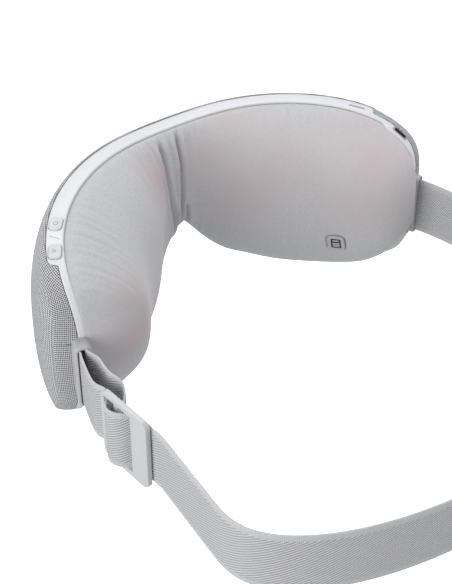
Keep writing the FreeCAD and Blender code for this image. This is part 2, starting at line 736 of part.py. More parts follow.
def button_board():
    body = new_body("button_board")
    sketch = rectangle(body, "button_board_outline", "XY_Plane",
                       "-dims.button_board_length / 2", "-dims.button_width / 2",
                       "dims.button_board_length", "dims.button_width")
    pad(body, sketch, "dims.board_wall")
    middle = (size["upper_button"] + size["lower_button"]) / 2
    place = edge_station(middle, size["button_radial"])
    drop = Placement(Vector(0, 0, -8.6), Rotation())
    keep(body, "button_board", place.multiply(drop))


# ---- electronics and air system -------------------------------------------------------------

def seat(arc, height, depth):
    """A station inside the front shell, a depth in front of the seam."""
    return station(arc, seam_at(abs(arc), height) + depth, height)


def main_board():
    body = new_body("main_board")
    outline = rectangle(body, "main_board_outline", "XZ_Plane", "-dims.board_length / 2",
                        "-dims.board_height / 2", "dims.board_length", "dims.board_height")
    pad(body, outline, "dims.board_wall")
    fillet(body, "2", Vector(0, 1, 0))
    hole = circle(body, "main_board_hole", "XZ_Plane", "1.2",
                  ("dims.board_length / 2 - 3", "dims.board_height / 2 - 3"))
    pocket(body, hole)
    keep(body, "main_board", seat(size["board_arc"], 0, 4.2))


def controller_chips():
    front = "-dims.chip_height / 2 - dims.board_wall / 2 - 0.02"
    pieces = [box("controller", "dims.chip_size", "dims.chip_height", "dims.chip_size",
                  ("0", front, "6")),
              box("motor_driver", "dims.chip_size / 2", "dims.chip_height",
                  "dims.chip_size / 2", ("8", front, "-9")),
              box("heater_driver", "dims.chip_size / 2", "dims.chip_height",
                  "dims.chip_size / 2", ("-8", front, "-9"))]
    group = doc.addObject("Part::Compound", "controller_chips")
    group.Links = pieces
    keep(group, "controller_chips", seat(size["board_arc"], 0, 4.2))


def battery_pack():
    body = new_body("battery_pack")
    outline = rectangle(body, "battery_outline", "XZ_Plane", "-dims.battery_length / 2",
                        "-dims.battery_height / 2", "dims.battery_length",
                        "dims.battery_height")
    pad(body, outline, "dims.battery_depth")
    fillet(body, "2.5", Vector(0, 0, 1))
    keep(body, "battery_pack", seat(-size["battery_arc"], -1, 6.8))


def revolved(label, sketch_name, radius, length, low="0"):
    """A turned body: one rectangle swung round the local Z axis."""
    body = new_body(label)
    sketch = rectangle(body, sketch_name, "XZ_Plane", "0", low, radius, length)
    feature = body.newObject("PartDesign::Revolution", sketch_name + "_turned")
    feature.Profile = sketch
    feature.ReferenceAxis = (sketch, ["V_Axis"])
    feature.Angle = 360
    doc.recompute()
    return body


def vibration_motor(label, side):
    body = revolved(label, label + "_can", "dims.motor_radius", "dims.motor_length")
    keep(body, label, seat(side * size["motor_arc"], size["motor_low"], size["radial_seat"]))


def motor_weight(label, side):
    """Half a disc on the motor's shaft, so that its spin shakes the pad."""
    disc = rod(label + "_disc", "dims.weight_radius", "dims.weight_length", ("0", "0", "0.8"))
    gap = box(label + "_gap", "2 * dims.weight_radius + 1", "dims.weight_radius + 1",
              "dims.weight_length + 1",
              ("0", "dims.weight_radius / 2 + 1.6", "0.8 + dims.weight_length / 2"))
    shaft = rod(label + "_shaft", "dims.shaft_radius", "dims.weight_length + 1.4",
                ("0", "0", "0.1"))
    half = cut(label + "_half", disc, gap)
    height = size["motor_low"] + size["motor_length"]
    base = seat(side * size["motor_arc"], size["motor_low"], size["radial_seat"]).Base
    turn = station(side * size["motor_arc"], size["wrap_radius"], 0).Rotation
    place = Placement(Vector(base.x, base.y, height), turn)
    keep(fuse(label, [half, shaft]), label, place)


def air_pump():
    can = rod("pump_can", "dims.pump_radius", "dims.pump_motor_length")
    head = rod("pump_head", "dims.pump_radius - 0.3", "dims.pump_head_length",
               ("0", "0", "dims.pump_motor_length"))
    room = rod("pump_room", "dims.rotor_radius + 0.5", "dims.pump_head_length - 3",
               ("0", "0", "dims.pump_motor_length + 1"))
    nozzle = rod("pump_nozzle", "dims.hose_hole", "4",
                 ("0", "0", "dims.pump_motor_length + dims.pump_head_length"))
    hollow_head = cut("pump_body", fuse("pump_solid", [can, head, nozzle]), room)
    keep(hollow_head, "air_pump", seat(size["pump_arc"], size["pump_low"], 7.8))


def pump_rotor():
    """The eccentric that drives the pump's diaphragm, inside the pump head."""
    hub = rod("rotor_hub", "dims.rotor_radius", "4", ("0", "0", "dims.pump_motor_length + 1.4"))
    crank = rod("rotor_crank", "0.8", "4", ("1.8", "0", "dims.pump_motor_length + 5.4"))
    keep(fuse("rotor", [hub, crank]), "pump_rotor",
         seat(size["pump_arc"], size["pump_low"], 7.8))


def air_valve():
    coil = box("valve_coil", "dims.valve_length", "dims.valve_depth", "dims.valve_height",
               ("0", "0", "dims.valve_height / 2"))
    bore = rod("valve_hole", "dims.valve_bore + 0.15", "dims.valve_height - 1.5",
               ("0", "0", "-1"))
    keep(cut("valve", coil, bore), "air_valve",
         seat(size["valve_arc"], size["valve_low"], 7.6))


def valve_plunger():
    body = revolved("valve_plunger", "plunger_profile", "dims.valve_bore",
                    "dims.plunger_length", "-0.6")
    keep(body, "valve_plunger", seat(size["valve_arc"], size["valve_low"], 7.6))


def air_manifold():
    block = box("manifold_block", "8", "6", "6", ("0", "0", "-6"))
    spigot = rod("manifold_spigot", "1.4", "3", ("0", "0", "-11"))
    keep(fuse("manifold", [block, spigot]), "air_manifold",
         seat(size["valve_arc"], size["valve_low"], 7.6))


def lane_tube(label, first, last, lane, height, radius, hole):
    """A hose that follows the wrap of the mask at one radius and height."""
    spread = math.degrees((last - first) / size["wrap_radius"])
    start = math.degrees(first / size["wrap_radius"]) - 90.0
    centre = Vector(0, size["wrap_radius"], height)
    ring = Part.makeTorus(lane, radius, centre, Vector(0, 0, 1), 0, 360, spread)
    core = Part.makeTorus(lane, hole, centre, Vector(0, 0, 1), 0, 360, spread)
    tube = ring.cut(core)
    tube.rotate(centre, Vector(0, 0, 1), start)
    freeform(label, tube)


def ribbon_cable():
    lane, height, width = size["ribbon_lane"], size["ribbon_height"], size["ribbon_width"]
    wall = size["ribbon_wall"]

    def section_of(arc):
        corners = [(lane, height - width / 2), (lane + wall, height - width / 2),
                   (lane + wall, height + width / 2), (lane, height + width / 2)]
        return [[corners[i], corners[(i + 1) % 4]] for i in range(4)]
    freeform("ribbon_cable", loft(even_stations(-34.0, 47.0, 9), section_of))


# ---- right-hand fittings --------------------------------------------------------------------

def usb_port():
    body = new_body("usb_port")
    outline = rectangle(body, "port_outline", "XY_Plane", "-dims.usb_length / 2",
                        "-dims.usb_depth / 2", "dims.usb_length", "dims.usb_depth")
    pad(body, outline, "dims.usb_tall")
    fillet(body, "dims.usb_depth / 2 - 0.1", Vector(0, 0, 1))
    mouth = rectangle(body, "port_mouth", "XY_Plane", "dims.usb_shell - dims.usb_length / 2 + 0.7",
                      "dims.usb_shell - dims.usb_depth / 2",
                      "dims.usb_length - 2 * dims.usb_shell - 1.4",
                      "dims.usb_depth - 2 * dims.usb_shell")
    pocket(body, mouth)
    tongue = rectangle(body, "port_tongue", "XY_Plane", "-3.9", "-0.35", "7.8", "0.7")
    pad(body, tongue, "dims.usb_tall - 2")
    drop = Placement(Vector(0, 0, 0.3 - size["usb_tall"] / 2), Rotation())
    keep(body, "usb_port", usb_place.multiply(drop))


def charge_board():
    body = new_body("charge_board")
    outline = rectangle(body, "charge_outline", "XZ_Plane", "-dims.charge_board_length / 2",
                        "-dims.charge_board_height / 2", "dims.charge_board_length",
                        "dims.charge_board_height")
    pad(body, outline, "dims.board_wall")
    drop = Placement(Vector(2.5, -3.2, -16.0), Rotation())
    keep(body, "charge_board", usb_place.multiply(drop))


def status_light():
    body = new_body("status_light")
    outline = rectangle(body, "light_outline", "XY_Plane", "-dims.light_length / 2",
                        "-dims.light_width / 2", "dims.light_length", "dims.light_width")
    pad(body, outline, "dims.light_tall")
    fillet(body, "dims.light_width / 2 - 0.05", Vector(0, 0, 1))
    drop = Placement(Vector(0, 0, 0.1 - size["light_tall"] / 2), Rotation())
    keep(body, "status_light", edge_station(-size["light_arc"],
                                            size["button_radial"]).multiply(drop))


def sensor():
    """The optical sensor in the right pad: a soft bezel, a dark window and a board."""
    bezel = new_body("sensor_bezel")
    outline = rectangle(bezel, "bezel_outline", "XY_Plane", "-dims.sensor_size / 2",
                        "-dims.sensor_size / 2", "dims.sensor_size", "dims.sensor_size")
    pad(bezel, outline, "dims.sensor_wall")
    fillet(bezel, "2.5", Vector(0, 0, 1))
    opening = rectangle(bezel, "bezel_opening", "XY_Plane", "-dims.sensor_window / 2 - 0.1",
                        "-dims.sensor_window / 2 - 0.1", "dims.sensor_window + 0.2",
                        "dims.sensor_window + 0.2")
    pocket(bezel, opening)
    sink = Placement(Vector(0, 0, -0.4 - size["sensor_wall"] / 2), Rotation())
    keep(bezel, "sensor_bezel", sensor_place.multiply(sink))
    window = new_body("sensor_window")
    glass = rectangle(window, "window_outline", "XY_Plane", "-dims.sensor_window / 2",
                      "-dims.sensor_window / 2", "dims.sensor_window", "dims.sensor_window")
    pad(window, glass, "dims.sensor_wall")
    fillet(window, "0.8", Vector(0, 0, 1))
    keep(window, "sensor_window", sensor_place.multiply(sink))
    board = new_body("sensor_board")
    layout = rectangle(board, "sensor_board_outline", "XY_Plane", "-dims.sensor_size / 2 + 1",
                       "-dims.sensor_size / 2 + 1", "dims.sensor_size - 2",
                       "dims.sensor_size - 2")
    pad(board, layout, "dims.board_wall")
    below = Placement(Vector(0, 0, -2.6 - size["sensor_wall"]), Rotation())
    keep(board, "sensor_board", sensor_place.multiply(below))


# ---- strap and slider -----------------------------------------------------------------------

slider_place = Placement(Vector(size["slider_x"], size["slider_y"], size["run_height"]),
                         Rotation(Vector(0, 0, 1), size["slider_turn"]))


def strap_slider():
    """A buckle with two windows: a narrow bar in front, a hidden middle bar, a wide rear bar."""
    body = new_body("strap_slider")
    outline = rectangle(body, "slider_outline", "YZ_Plane", "-dims.slider_length / 2",
                        "-dims.slider_height / 2", "dims.slider_length", "dims.slider_height")
    pad(body, outline, "dims.slider_wall")
    fillet(body, "dims.slider_round", Vector(1, 0, 0))
    low = "-dims.slider_height / 2 + dims.slider_side_bar"
    tall = "dims.slider_height - 2 * dims.slider_side_bar"
    front = "-dims.slider_length / 2 + dims.slider_front_bar"
    middle_front = "-dims.slider_middle_at - dims.slider_middle_bar / 2"
    middle_rear = "-dims.slider_middle_at + dims.slider_middle_bar / 2"
    rear = "dims.slider_length / 2 - dims.slider_rear_bar"
    ahead = rectangle(body, "front_window", "YZ_Plane", front, low,
                      "%s - (%s)" % (middle_front, front), tall)
    pocket(body, ahead)
    behind = rectangle(body, "rear_window", "YZ_Plane", middle_rear, low,
                       "%s - (%s)" % (rear, middle_rear), tall)
    pocket(body, behind)
    keep(body, "strap_slider", slider_place)


def ribbon(path, wall, width, heights):
    """A strap of even width along a plan path, each section at its own height."""
    points = [Vector(x, y, 0) for x, y in path]
    curve = Part.BSplineCurve()
    curve.interpolate(points)
    wires = []
    count = max(8, 2 * len(path))
    for step in range(count + 1):
        share = step / count
        at = curve.value(curve.FirstParameter + share
                         * (curve.LastParameter - curve.FirstParameter))
        tangent = Vector(curve.tangent(curve.parameter(at))[0])
        across = Vector(-tangent.y, tangent.x, 0).normalize().multiply(wall / 2)
        height = heights[0] + (heights[1] - heights[0]) * share
        low, high = Vector(0, 0, height - width / 2), Vector(0, 0, height + width / 2)
        corners = [at.add(across).add(low), at.sub(across).add(low),
                   at.sub(across).add(high), at.add(across).add(high)]
        wires.append(Part.makePolygon(corners + corners[:1]))
    return Part.makeLoft(wires, True, False)


def in_slider(points):
    """Plan points given in the slider's own frame, moved to the mask's frame."""
    moved = [slider_place.multVec(Vector(x, y, 0)) for x, y in points]
    return [(point.x, point.y) for point in moved]


def anchor_exit(side, offset, beyond=0.0):
    """Plan point in the strap socket, offset across it and beyond its mouth."""
    place = anchor("left" if side > 0 else "right", size["collar_length"])
    point = place.multVec(Vector(beyond, -offset, 0))
    return (side * point.x, point.y)


LEG_OFFSET = 1.45                       # half the distance between the strap's two layers


def strap_pieces():
    wall, width = size["strap_wall"], size["strap_width"]
    heights = (size["left_anchor_height"], size["run_height"])
    outer = [anchor_exit(1, LEG_OFFSET, -4.0), anchor_exit(1, LEG_OFFSET, 0.0),
             anchor_exit(1, LEG_OFFSET + 0.3, 6.0)]
    outer += in_slider([(-1.7, -24.0), (-2.4, -19.0), (-2.5, -16.0)])
    freeform("strap_outer_leg", ribbon(outer, wall - 0.4, width, heights))
    inner = [anchor_exit(1, -LEG_OFFSET, -4.0), anchor_exit(1, -LEG_OFFSET, 0.0),
             anchor_exit(1, -LEG_OFFSET - 1.2, 8.0)]
    inner += in_slider([(-5.6, -22.0), (-5.0, -14.0), (-2.9, -8.0), (-2.2, -4.6)])
    freeform("strap_inner_leg", ribbon(inner, wall - 0.4, width, heights))
    level = (size["run_height"], size["run_height"])
    over = [(-2.5, -15.6), (-2.5, -13.9), (-1.2, -12.2), (1.6, -10.8), (3.9, -8.6),
            (4.7, -5.8), (3.9, -2.6), (1.6, 0.4), (-1.0, 2.2), (-2.5, 4.0),
            (-2.7, 7.0), (-2.7, 10.5), (-2.6, 14.0), (-2.5, 17.6)]
    freeform("strap_wrap", ribbon(in_slider(over), wall - 0.4, width, level))
    depth, base = size["strap_curve_depth"], size["strap_curve_y"]
    reach = size["strap_reach"]

    def rear_points(first, last, count):
        points = []
        for step in range(count):
            turn = math.radians(first + (last - first) * step / (count - 1))
            points.append((reach * math.cos(turn), base + depth * math.sin(turn)))
        return points
    left = in_slider([(-2.5, 17.8), (-2.4, 21.0)])
    left += [(reach - 3.2, base - 36.0), (reach - 1.3, base - 18.0), (reach, base)]
    freeform("strap_left_run", ribbon(left, wall, width, level))
    rear = [(reach, base + 0.2)] + rear_points(4, 180, 15)
    rear += [(-reach, base - 16.0), (-reach, base - 32.0), (-reach, base - 46.0),
             (-reach, base - 61.8)]
    freeform("strap_rear", ribbon(rear, wall, width, level))
    right = [anchor_exit(-1, 0.0, -3.0), anchor_exit(-1, 0.0, 0.0), anchor_exit(-1, 0.0, 8.0),
             (-reach + 3.0, 95.0), (-reach + 0.8, 112.0), (-reach, base - 62.0)]
    heights = (size["right_anchor_height"], size["run_height"])
    freeform("strap_right_run", ribbon(right, wall, width, heights))


# ---- build ----------------------------------------------------------------------------------

def build():
    side_pieces(1, "left", size["left_wide_end"])
    side_pieces(-1, "right", size["right_wide_end"])
    bridge_pieces()
    hinge_leaf("left_hinge_leaf", 1)
    hinge_leaf("right_hinge_leaf", -1)
    hinge_pin()
    button("power_button", size["upper_button"])
    button("mode_button", size["lower_button"])
    tact_switches()
    button_board()
    main_board()
    controller_chips()
    battery_pack()
    for side, name in ((1, "left"), (-1, "right")):
        vibration_motor(name + "_vibration_motor", side)
        motor_weight(name + "_motor_weight", side)
    air_pump()
    pump_rotor()
    air_valve()
    valve_plunger()
    air_manifold()
    lane_tube("air_hose", -27.0, 44.0, size["hose_lane"], size["hose_height"],
              size["hose_radius"], size["hose_hole"])
    ribbon_cable()
    usb_port()
    charge_board()
    status_light()
    sensor()
    strap_slider()
    strap_pieces()


def check_and_write():
    doc.recompute()
    for obj in doc.Objects:
        if "Invalid" in obj.State or "Error" in obj.State:
            raise ValueError("%s failed: %s" % (obj.Label, obj.State))
    for obj in subparts:
        if obj.Shape.isNull() or not obj.Shape.isValid() or obj.Shape.Volume <= 0:
            raise ValueError(obj.Label + " has no valid solid")
    os.makedirs("parts", exist_ok=True)
    for obj in subparts:
        obj.Shape.exportStep("parts/%s.step" % obj.Label)
        print("%-24s %9.1f mm3" % (obj.Label, obj.Shape.Volume))


build()
check_and_write()
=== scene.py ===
import json
import math
import bmesh
import bpy
import numpy as np
from mathutils import Matrix, Vector


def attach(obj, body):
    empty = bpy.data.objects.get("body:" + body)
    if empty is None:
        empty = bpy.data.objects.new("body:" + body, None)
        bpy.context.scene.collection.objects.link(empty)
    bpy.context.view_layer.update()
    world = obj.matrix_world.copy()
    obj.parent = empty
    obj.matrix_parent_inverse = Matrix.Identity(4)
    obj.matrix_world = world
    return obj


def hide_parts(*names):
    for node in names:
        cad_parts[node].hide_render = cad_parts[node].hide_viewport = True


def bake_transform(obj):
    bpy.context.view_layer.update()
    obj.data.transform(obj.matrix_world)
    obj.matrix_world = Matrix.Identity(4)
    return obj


# Eye massager mask: the looks of the frame, knit front, pad, strap, buckle and fittings.
# Lengths are in millimetres until a mesh is made. Places on the mask are given by the arc
# length from the nose, the depth in front of the seam between frame and pad, and the height.

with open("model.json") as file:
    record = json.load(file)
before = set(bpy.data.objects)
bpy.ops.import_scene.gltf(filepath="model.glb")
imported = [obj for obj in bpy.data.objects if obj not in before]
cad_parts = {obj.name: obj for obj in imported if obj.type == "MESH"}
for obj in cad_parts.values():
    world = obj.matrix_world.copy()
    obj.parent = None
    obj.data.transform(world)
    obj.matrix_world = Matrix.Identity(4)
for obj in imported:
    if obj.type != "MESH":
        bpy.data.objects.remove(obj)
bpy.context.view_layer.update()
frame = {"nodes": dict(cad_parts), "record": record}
MM = 0.001  # metres in a millimetre

# The outline wraps round an upright axis and closes at END_HEIGHT at both temples.
WRAP, HALF_ARC, END_HEIGHT = 109.0, 128.0, 5.4
TOP_RISE, BOTTOM_DROP = 42.6, 60.0
CORNER_DROP, CORNER_START, CORNER_END = 13.0, 12.0, 60.0  # the left frame's lower corner
NOSE_NOTCH, NOTCH_WIDTH, NOTCH_POWER = 47.4, 26.4, 1.35
BRIDGE_DIP, DIP_WIDTH = 1.8, 30.0
TOP_SIDE, TOP_ROOT, LOW_SIDE, LOW_ROOT = 3.8, 3.7, 3.5, 4.2
TOP_LEAN, LOW_LEAN = 0.005, 0.003  # the seam's lean away from the face

# The pad's crown, its valley at the nose and its overhang at the right temple.
PAD_BULGE, PAD_GROWTH, VALLEY, VALLEY_WIDTH = 29.4, 13.4, 0.77, 30.8
PAD_SIDE, PAD_ROOT, PAD_END, PAD_INSET = 3.0, 1.29, 10.0, 0.6
PAD_STATIONS, PAD_ROWS = 280, 121
PAD_TUCK, TUCK_REACH = 1.2, 0.7  # how far the edge is drawn in at the seam
PAD_SPILL, SPILL_ARCS, SPILL_SIDES = 6.5, (104.0, 126.0), (-0.8, -0.35)
SPILL_CROWN = (2.0, 9.0)
PAD_RISE, RISE_SIDES, RISE_CROWN = 2.0, (0.6, 0.9), (1.0, 6.0)  # lower edge of the lobes
RISE_ARCS, SINK, SINK_ARCS = (18.0, 40.0), 1.6, (85.0, 112.0)
PAD_BACK = ((0.97, 0.4), (0.5, 0.6), (0.0, 0.6), (-0.5, 0.6), (-0.97, 0.4))  # share, depth

# The knit front: its dome, its lips and how round its edges are.
DOME, DOME_SIDE, DOME_ROOT, DOME_END = 8.5, 2.44, 1.35, 4.5
FRONT_LIP, THIN_LIP = 2.4, 1.0
LEFT_LIP, RIGHT_LIP = (90.0, 118.0), (108.0, 122.0)  # where the lip grows
KNIT_WALL, STEEP = 0.9, 40.0  # STEEP is the outline's slope at its very end
KNIT_ROUND = (0.5, 2.2, 7.5)  # over the face, left temple, right temple
RIGHT_ROUND = (94.0, 120.0)  # where the right edge grows rounder
KNIT_STATIONS, KNIT_ROWS = 170, 61
LIP_GAP, LIP_ANGLES = 0.15, (0, 15, 30, 45, 60, 75)
LIP_PRINT, PRINT_STRETCH = 1.2, (1.1, 1.0)  # the weave's run round the lip

# The frame band and what is cut into it: width, height and corner radius of each slot.
RIM_DEPTH, RIM_NARROW, RIM_WALL, RIM_ROUND = 8.2, 3.7, 2.2, 0.8
LEFT_WIDE, RIGHT_WIDE = 112.0, 102.0  # where the band turns narrow
RIM_CORNER, CORNER_SHARE = 2.2, 0.45
BAND_STATIONS = 190
BUTTONS, BUTTON_DEPTH = (91.0, 106.0), 4.1
BUTTON_SIZE, BUTTON_GAP, BUTTON_HOLE_ROUND = (8.0, 6.0), 0.5, 1.9
PORT_ARC, PORT_DEPTH, PORT_SLOT = -117.0, 1.4, (9.1, 3.3, 1.6)
PORT_SWELL, PORT_REACH, PORT_FADE = 2.4, 9.0, 3.4
LIGHT_ARC, LIGHT_SLOT = -94.0, (8.8, 1.6, 0.8)
LINE_SLOT, LINE_TURN = (5.4, 0.6, 0.3), 72  # degrees from the frame's run
SEAM_SECTION = ((-1.4, -0.5), (-1.4, 0.1), (-0.85, 0.1), (-0.85, -0.3), (-1.0, -0.5))

# The sensor: rings and layers are width, height, corner radius and level above the pad.
SENSOR_ARC, SENSOR_SHARE = 91.5, -0.29
ARC_STEP, SHARE_STEP = 1, 0.02
SENSOR_RING = ((9.4, 9.4, 2.4, -1.9), (9.4, 9.4, 2.4, -1.0), (9.1, 9.1, 2.3, -0.75),
               (8.5, 8.5, 2.1, -0.62), (5.8, 7.0, 1.1, -0.62), (5.5, 6.7, 0.9, -0.72),
               (5.3, 6.5, 0.8, -1.0), (5.3, 6.5, 0.8, -1.6))
SENSOR_PANE = (5.2, 6.4, 0.8, -1.6, -0.84, 0.2)  # as cap_layers takes them
SENSOR_LENS = (3.8, 5.0, 0.5, -0.95, -0.78, 0.08)
SENSOR_BAR, BAR_OFFSET = (4.4, 0.8, 0.3, -0.9, -0.70, 0.06), -1.0
LIGHT_LENS = (8.5, 1.35, 0.66, -2.7, 0.12, 0.25)

# The strap sockets and the strap.
STRAP_WIDTH, RUN_HEIGHT = 32.0, -5.5
SOCKET_RADIUS, SOCKET_LENGTH, SOCKET_SLOT = 111.8, 8.6, 5.0
SOCKET_WALL = {1: 1.5, -1: 0.8}  # 1 is the left side, -1 the right
SOCKET_HEIGHT = {1: -9.0, -1: -2.0}
SOCKET_SINK = {1: 0.8, -1: 5.0}
SOCKET_EASE, SOCKET_SOFT = 0.4, 0.7  # flare of the mouth, softness of the edges per wall
END_ARC = HALF_ARC * math.sin(math.radians(86.0))


# ---- outline and surfaces ----

def rounded(share, side):
    return np.sqrt(np.clip(1 - np.clip(np.abs(share), 0, 1) ** side, 0, 1))


def top_height(arc):
    rise = TOP_RISE * rounded(arc / HALF_ARC, TOP_SIDE) ** (2 / TOP_ROOT)
    return END_HEIGHT + rise - BRIDGE_DIP * np.exp(-(arc / DIP_WIDTH) ** 2)


def bottom_height(arc):
    drop = BOTTOM_DROP * rounded(arc / HALF_ARC, LOW_SIDE) ** (2 / LOW_ROOT)
    notch = NOSE_NOTCH * np.exp(-(np.abs(arc) / NOTCH_WIDTH) ** NOTCH_POWER)
    return END_HEIGHT - drop + notch


def frame_bottom(arc):
    """The left frame and front reach lower than the pad does near the temple."""
    share = np.clip(np.abs(arc) / HALF_ARC, 0, 1)
    corner = share ** CORNER_START * np.sqrt(1 - share ** CORNER_END)
    return bottom_height(arc) - np.where(arc > 0, CORNER_DROP, 0.0) * corner


def seam_radius(arc, share):
    upper = TOP_LEAN * (top_height(arc) - END_HEIGHT) ** 2
    lower = LOW_LEAN * (bottom_height(arc) - END_HEIGHT) ** 2
    return WRAP + upper * (1 + share) / 2 + lower * (1 - share) / 2


def seam_at(arc, height):
    low, high = bottom_height(arc), top_height(arc)
    tall = np.maximum(high - low, 1.0)
    return seam_radius(arc, np.clip((2 * height - high - low) / tall, -1.3, 1.3))


def pad_depth(arc):
    share = np.clip(np.abs(arc) / HALF_ARC, 0, 1)
    valley = 1 - VALLEY * np.exp(-(arc / VALLEY_WIDTH) ** 2)
    return (PAD_BULGE + PAD_GROWTH * share) * valley * np.sqrt(1 - share ** PAD_END)


def pad_radius(arc, share):
    bulge = np.clip(1 - np.abs(share) ** PAD_SIDE, 0, 1) ** (1 / PAD_ROOT)
    return seam_radius(arc, share) - PAD_INSET - pad_depth(arc) * bulge


def dome_radius(arc, share, shrink):
    """The front rises from a thin lip over the face and a full one at the temples."""
    bulge = np.clip(1 - np.abs(share) ** DOME_SIDE, 0, 1) ** (1 / DOME_ROOT)
    depth = DOME * np.sqrt(1 - np.clip(np.abs(arc) / HALF_ARC, 0, 1) ** DOME_END)
    lip = THIN_LIP + (FRONT_LIP - THIN_LIP) * lip_share(arc)
    depth = lip + (FRONT_LIP - lip + depth) * bulge
    return seam_radius(arc, share) + RIM_DEPTH + depth - shrink


def lip_share(arc):
    return smooth(arc, *LEFT_LIP) + smooth(-arc, *RIGHT_LIP)


def around(arc, radius, height):
    """Points in millimetres from arc length, radius from the wrap axis and height."""
    turn = arc / WRAP
    return np.stack([radius * np.sin(turn), WRAP - radius * np.cos(turn), height + 0 * turn], -1)


def smooth(value, low, high):
    share = np.clip((value - low) / (high - low), 0, 1)
    return share * share * (3 - 2 * share)


def stations(count):
    """Arc lengths from temple to temple, evenly spaced along the outline."""
    fine = HALF_ARC * (1 - (1 - np.linspace(0, 1, 4001)) ** 4)
    up, down = np.diff(top_height(fine)), np.diff(bottom_height(fine))
    step = np.sqrt(np.diff(fine) ** 2 + (up ** 2 + down ** 2) / 2)
    length = np.concatenate([[0], np.cumsum(step)])
    half = np.interp(np.linspace(0, length[-1], count), length, fine)
    return np.concatenate([-half[:0:-1], half])


def turn_at(arc):
    """Rotation whose X runs along the arc, Y towards the face and Z up."""
    return Matrix.Rotation(arc / WRAP, 3, "Z")


def edge_frame(arc, depth):
    """On top of the frame at an arc length, Z square to the frame: rotation and origin."""
    slope = float(top_height(abs(arc) + 0.5) - top_height(abs(arc) - 0.5))
    tilt = math.atan(-slope) * (1 if arc > 0 else -1)
    turn = turn_at(arc) @ Matrix.Rotation(tilt, 3, "Y")
    radius = float(seam_radius(arc, 1)) + depth
    return turn, Vector(around(np.array(arc), radius, float(top_height(arc))))


# ---- mesh making ----

def finish_mesh(name, points, faces, uvs=None, angle=35.0):
    """An object from points in millimetres, merged, outward-facing and smooth-shaded."""
    mesh = bpy.data.meshes.new(name)
    mesh.from_pydata((np.asarray(points, float) * MM).tolist(), [], faces)
    if uvs is not None:
        layer = mesh.uv_layers.new(name="surface")
        corners = np.zeros(len(mesh.loops), int)
        mesh.loops.foreach_get("vertex_index", corners)
        layer.data.foreach_set("uv", np.asarray(uvs, float)[corners].ravel())
    work = bmesh.new()
    work.from_mesh(mesh)
    bmesh.ops.remove_doubles(work, verts=work.verts, dist=2e-6)
    bmesh.ops.dissolve_degenerate(work, edges=work.edges, dist=1e-6)
    bmesh.ops.recalc_face_normals(work, faces=work.faces)
    work.to_mesh(mesh)
    work.free()
    mesh.shade_smooth()
    mesh.set_sharp_from_angle(angle=math.radians(angle))
    obj = bpy.data.objects.new(name, mesh)
    bpy.context.scene.collection.objects.link(obj)
    return obj


def grid(name, points, uvs, angle):
    """A surface of quads from rows and columns of points; equal points are merged."""
    rows, cols = points.shape[:2]
    index = np.arange(rows * cols).reshape(rows, cols)
    quads = np.stack([index[:-1, :-1], index[:-1, 1:], index[1:, 1:], index[1:, :-1]], -1)
    flat = None if uvs is None else uvs.reshape(-1, 2)
    return finish_mesh(name, points.reshape(-1, 3), quads.reshape(-1, 4).tolist(), flat, angle)


CORNER_POINTS = 8


def rounded_loop(width, height, radius):
    """Points of a rounded rectangle, anticlockwise, as many in each corner."""
    radius = min(radius, width / 2 - 0.01, height / 2 - 0.01)
    centres = ((1, 1, 0), (-1, 1, 90), (-1, -1, 180), (1, -1, 270))
    loop = []
    for across, up, start in centres:
        for step in range(CORNER_POINTS):
            angle = math.radians(start + 90 * step / (CORNER_POINTS - 1))
            loop.append((across * (width / 2 - radius) + radius * math.cos(angle),
                         up * (height / 2 - radius) + radius * math.sin(angle)))
    return loop


def stack(name, layers, place, angle=35.0):
    """A solid from rounded rectangles (width, height, radius, level), capped at both ends."""
    turn, origin = place
    points = []
    for width, height, radius, level in layers:
        for x, y in rounded_loop(width, height, radius):
            points.append(turn @ Vector((x, y, level)) + origin)
    count = len(points) // len(layers)
    faces = []
    for layer in range(len(layers) - 1):
        for i in range(count):
            j = (i + 1) % count
            base = layer * count
            faces.append((base + i, base + j, base + count + j, base + count + i))
    faces.append(tuple(range(count))[::-1])
    faces.append(tuple(range(len(points) - count, len(points))))
    return finish_mesh(name, [tuple(p) for p in points], faces, None, angle)


def cap_layers(width, height, radius, base, top, soft, dish=0.0):
    """Layers of a button-like solid with a soft upper edge."""
    layers = [(width, height, radius, base), (width, height, radius, top - soft)]
    for step in (1, 2, 3, 4):
        angle = math.radians(22.5 * step)
        inset = soft * (1 - math.cos(angle))
        layers.append((width - 2 * inset, height - 2 * inset, radius - inset * 0.5,
                       top - soft + soft * math.sin(angle)))
    for share in (0.75, 0.45, 0.15):
        drop = dish * (1 - share ** 2)
        layers.append(((width - 2 * soft) * share, (height - 2 * soft) * share,
                       (radius - soft * 0.5) * share, top - drop))
    return layers


def carve(target, cutter):
    """Cut one closed mesh out of another for good."""
    modifier = target.modifiers.new("carve", "BOOLEAN")
    modifier.operation = "DIFFERENCE"
    modifier.solver = "EXACT"
    modifier.object = cutter
    apply_modifiers(target)
    bpy.data.objects.remove(cutter)


def apply_modifiers(obj):
    """Replace the object's mesh by its evaluated form."""
    graph = bpy.context.evaluated_depsgraph_get()
    graph.update()
    result = bpy.data.meshes.new_from_object(obj.evaluated_get(graph))
    obj.modifiers.clear()
    obj.data = result


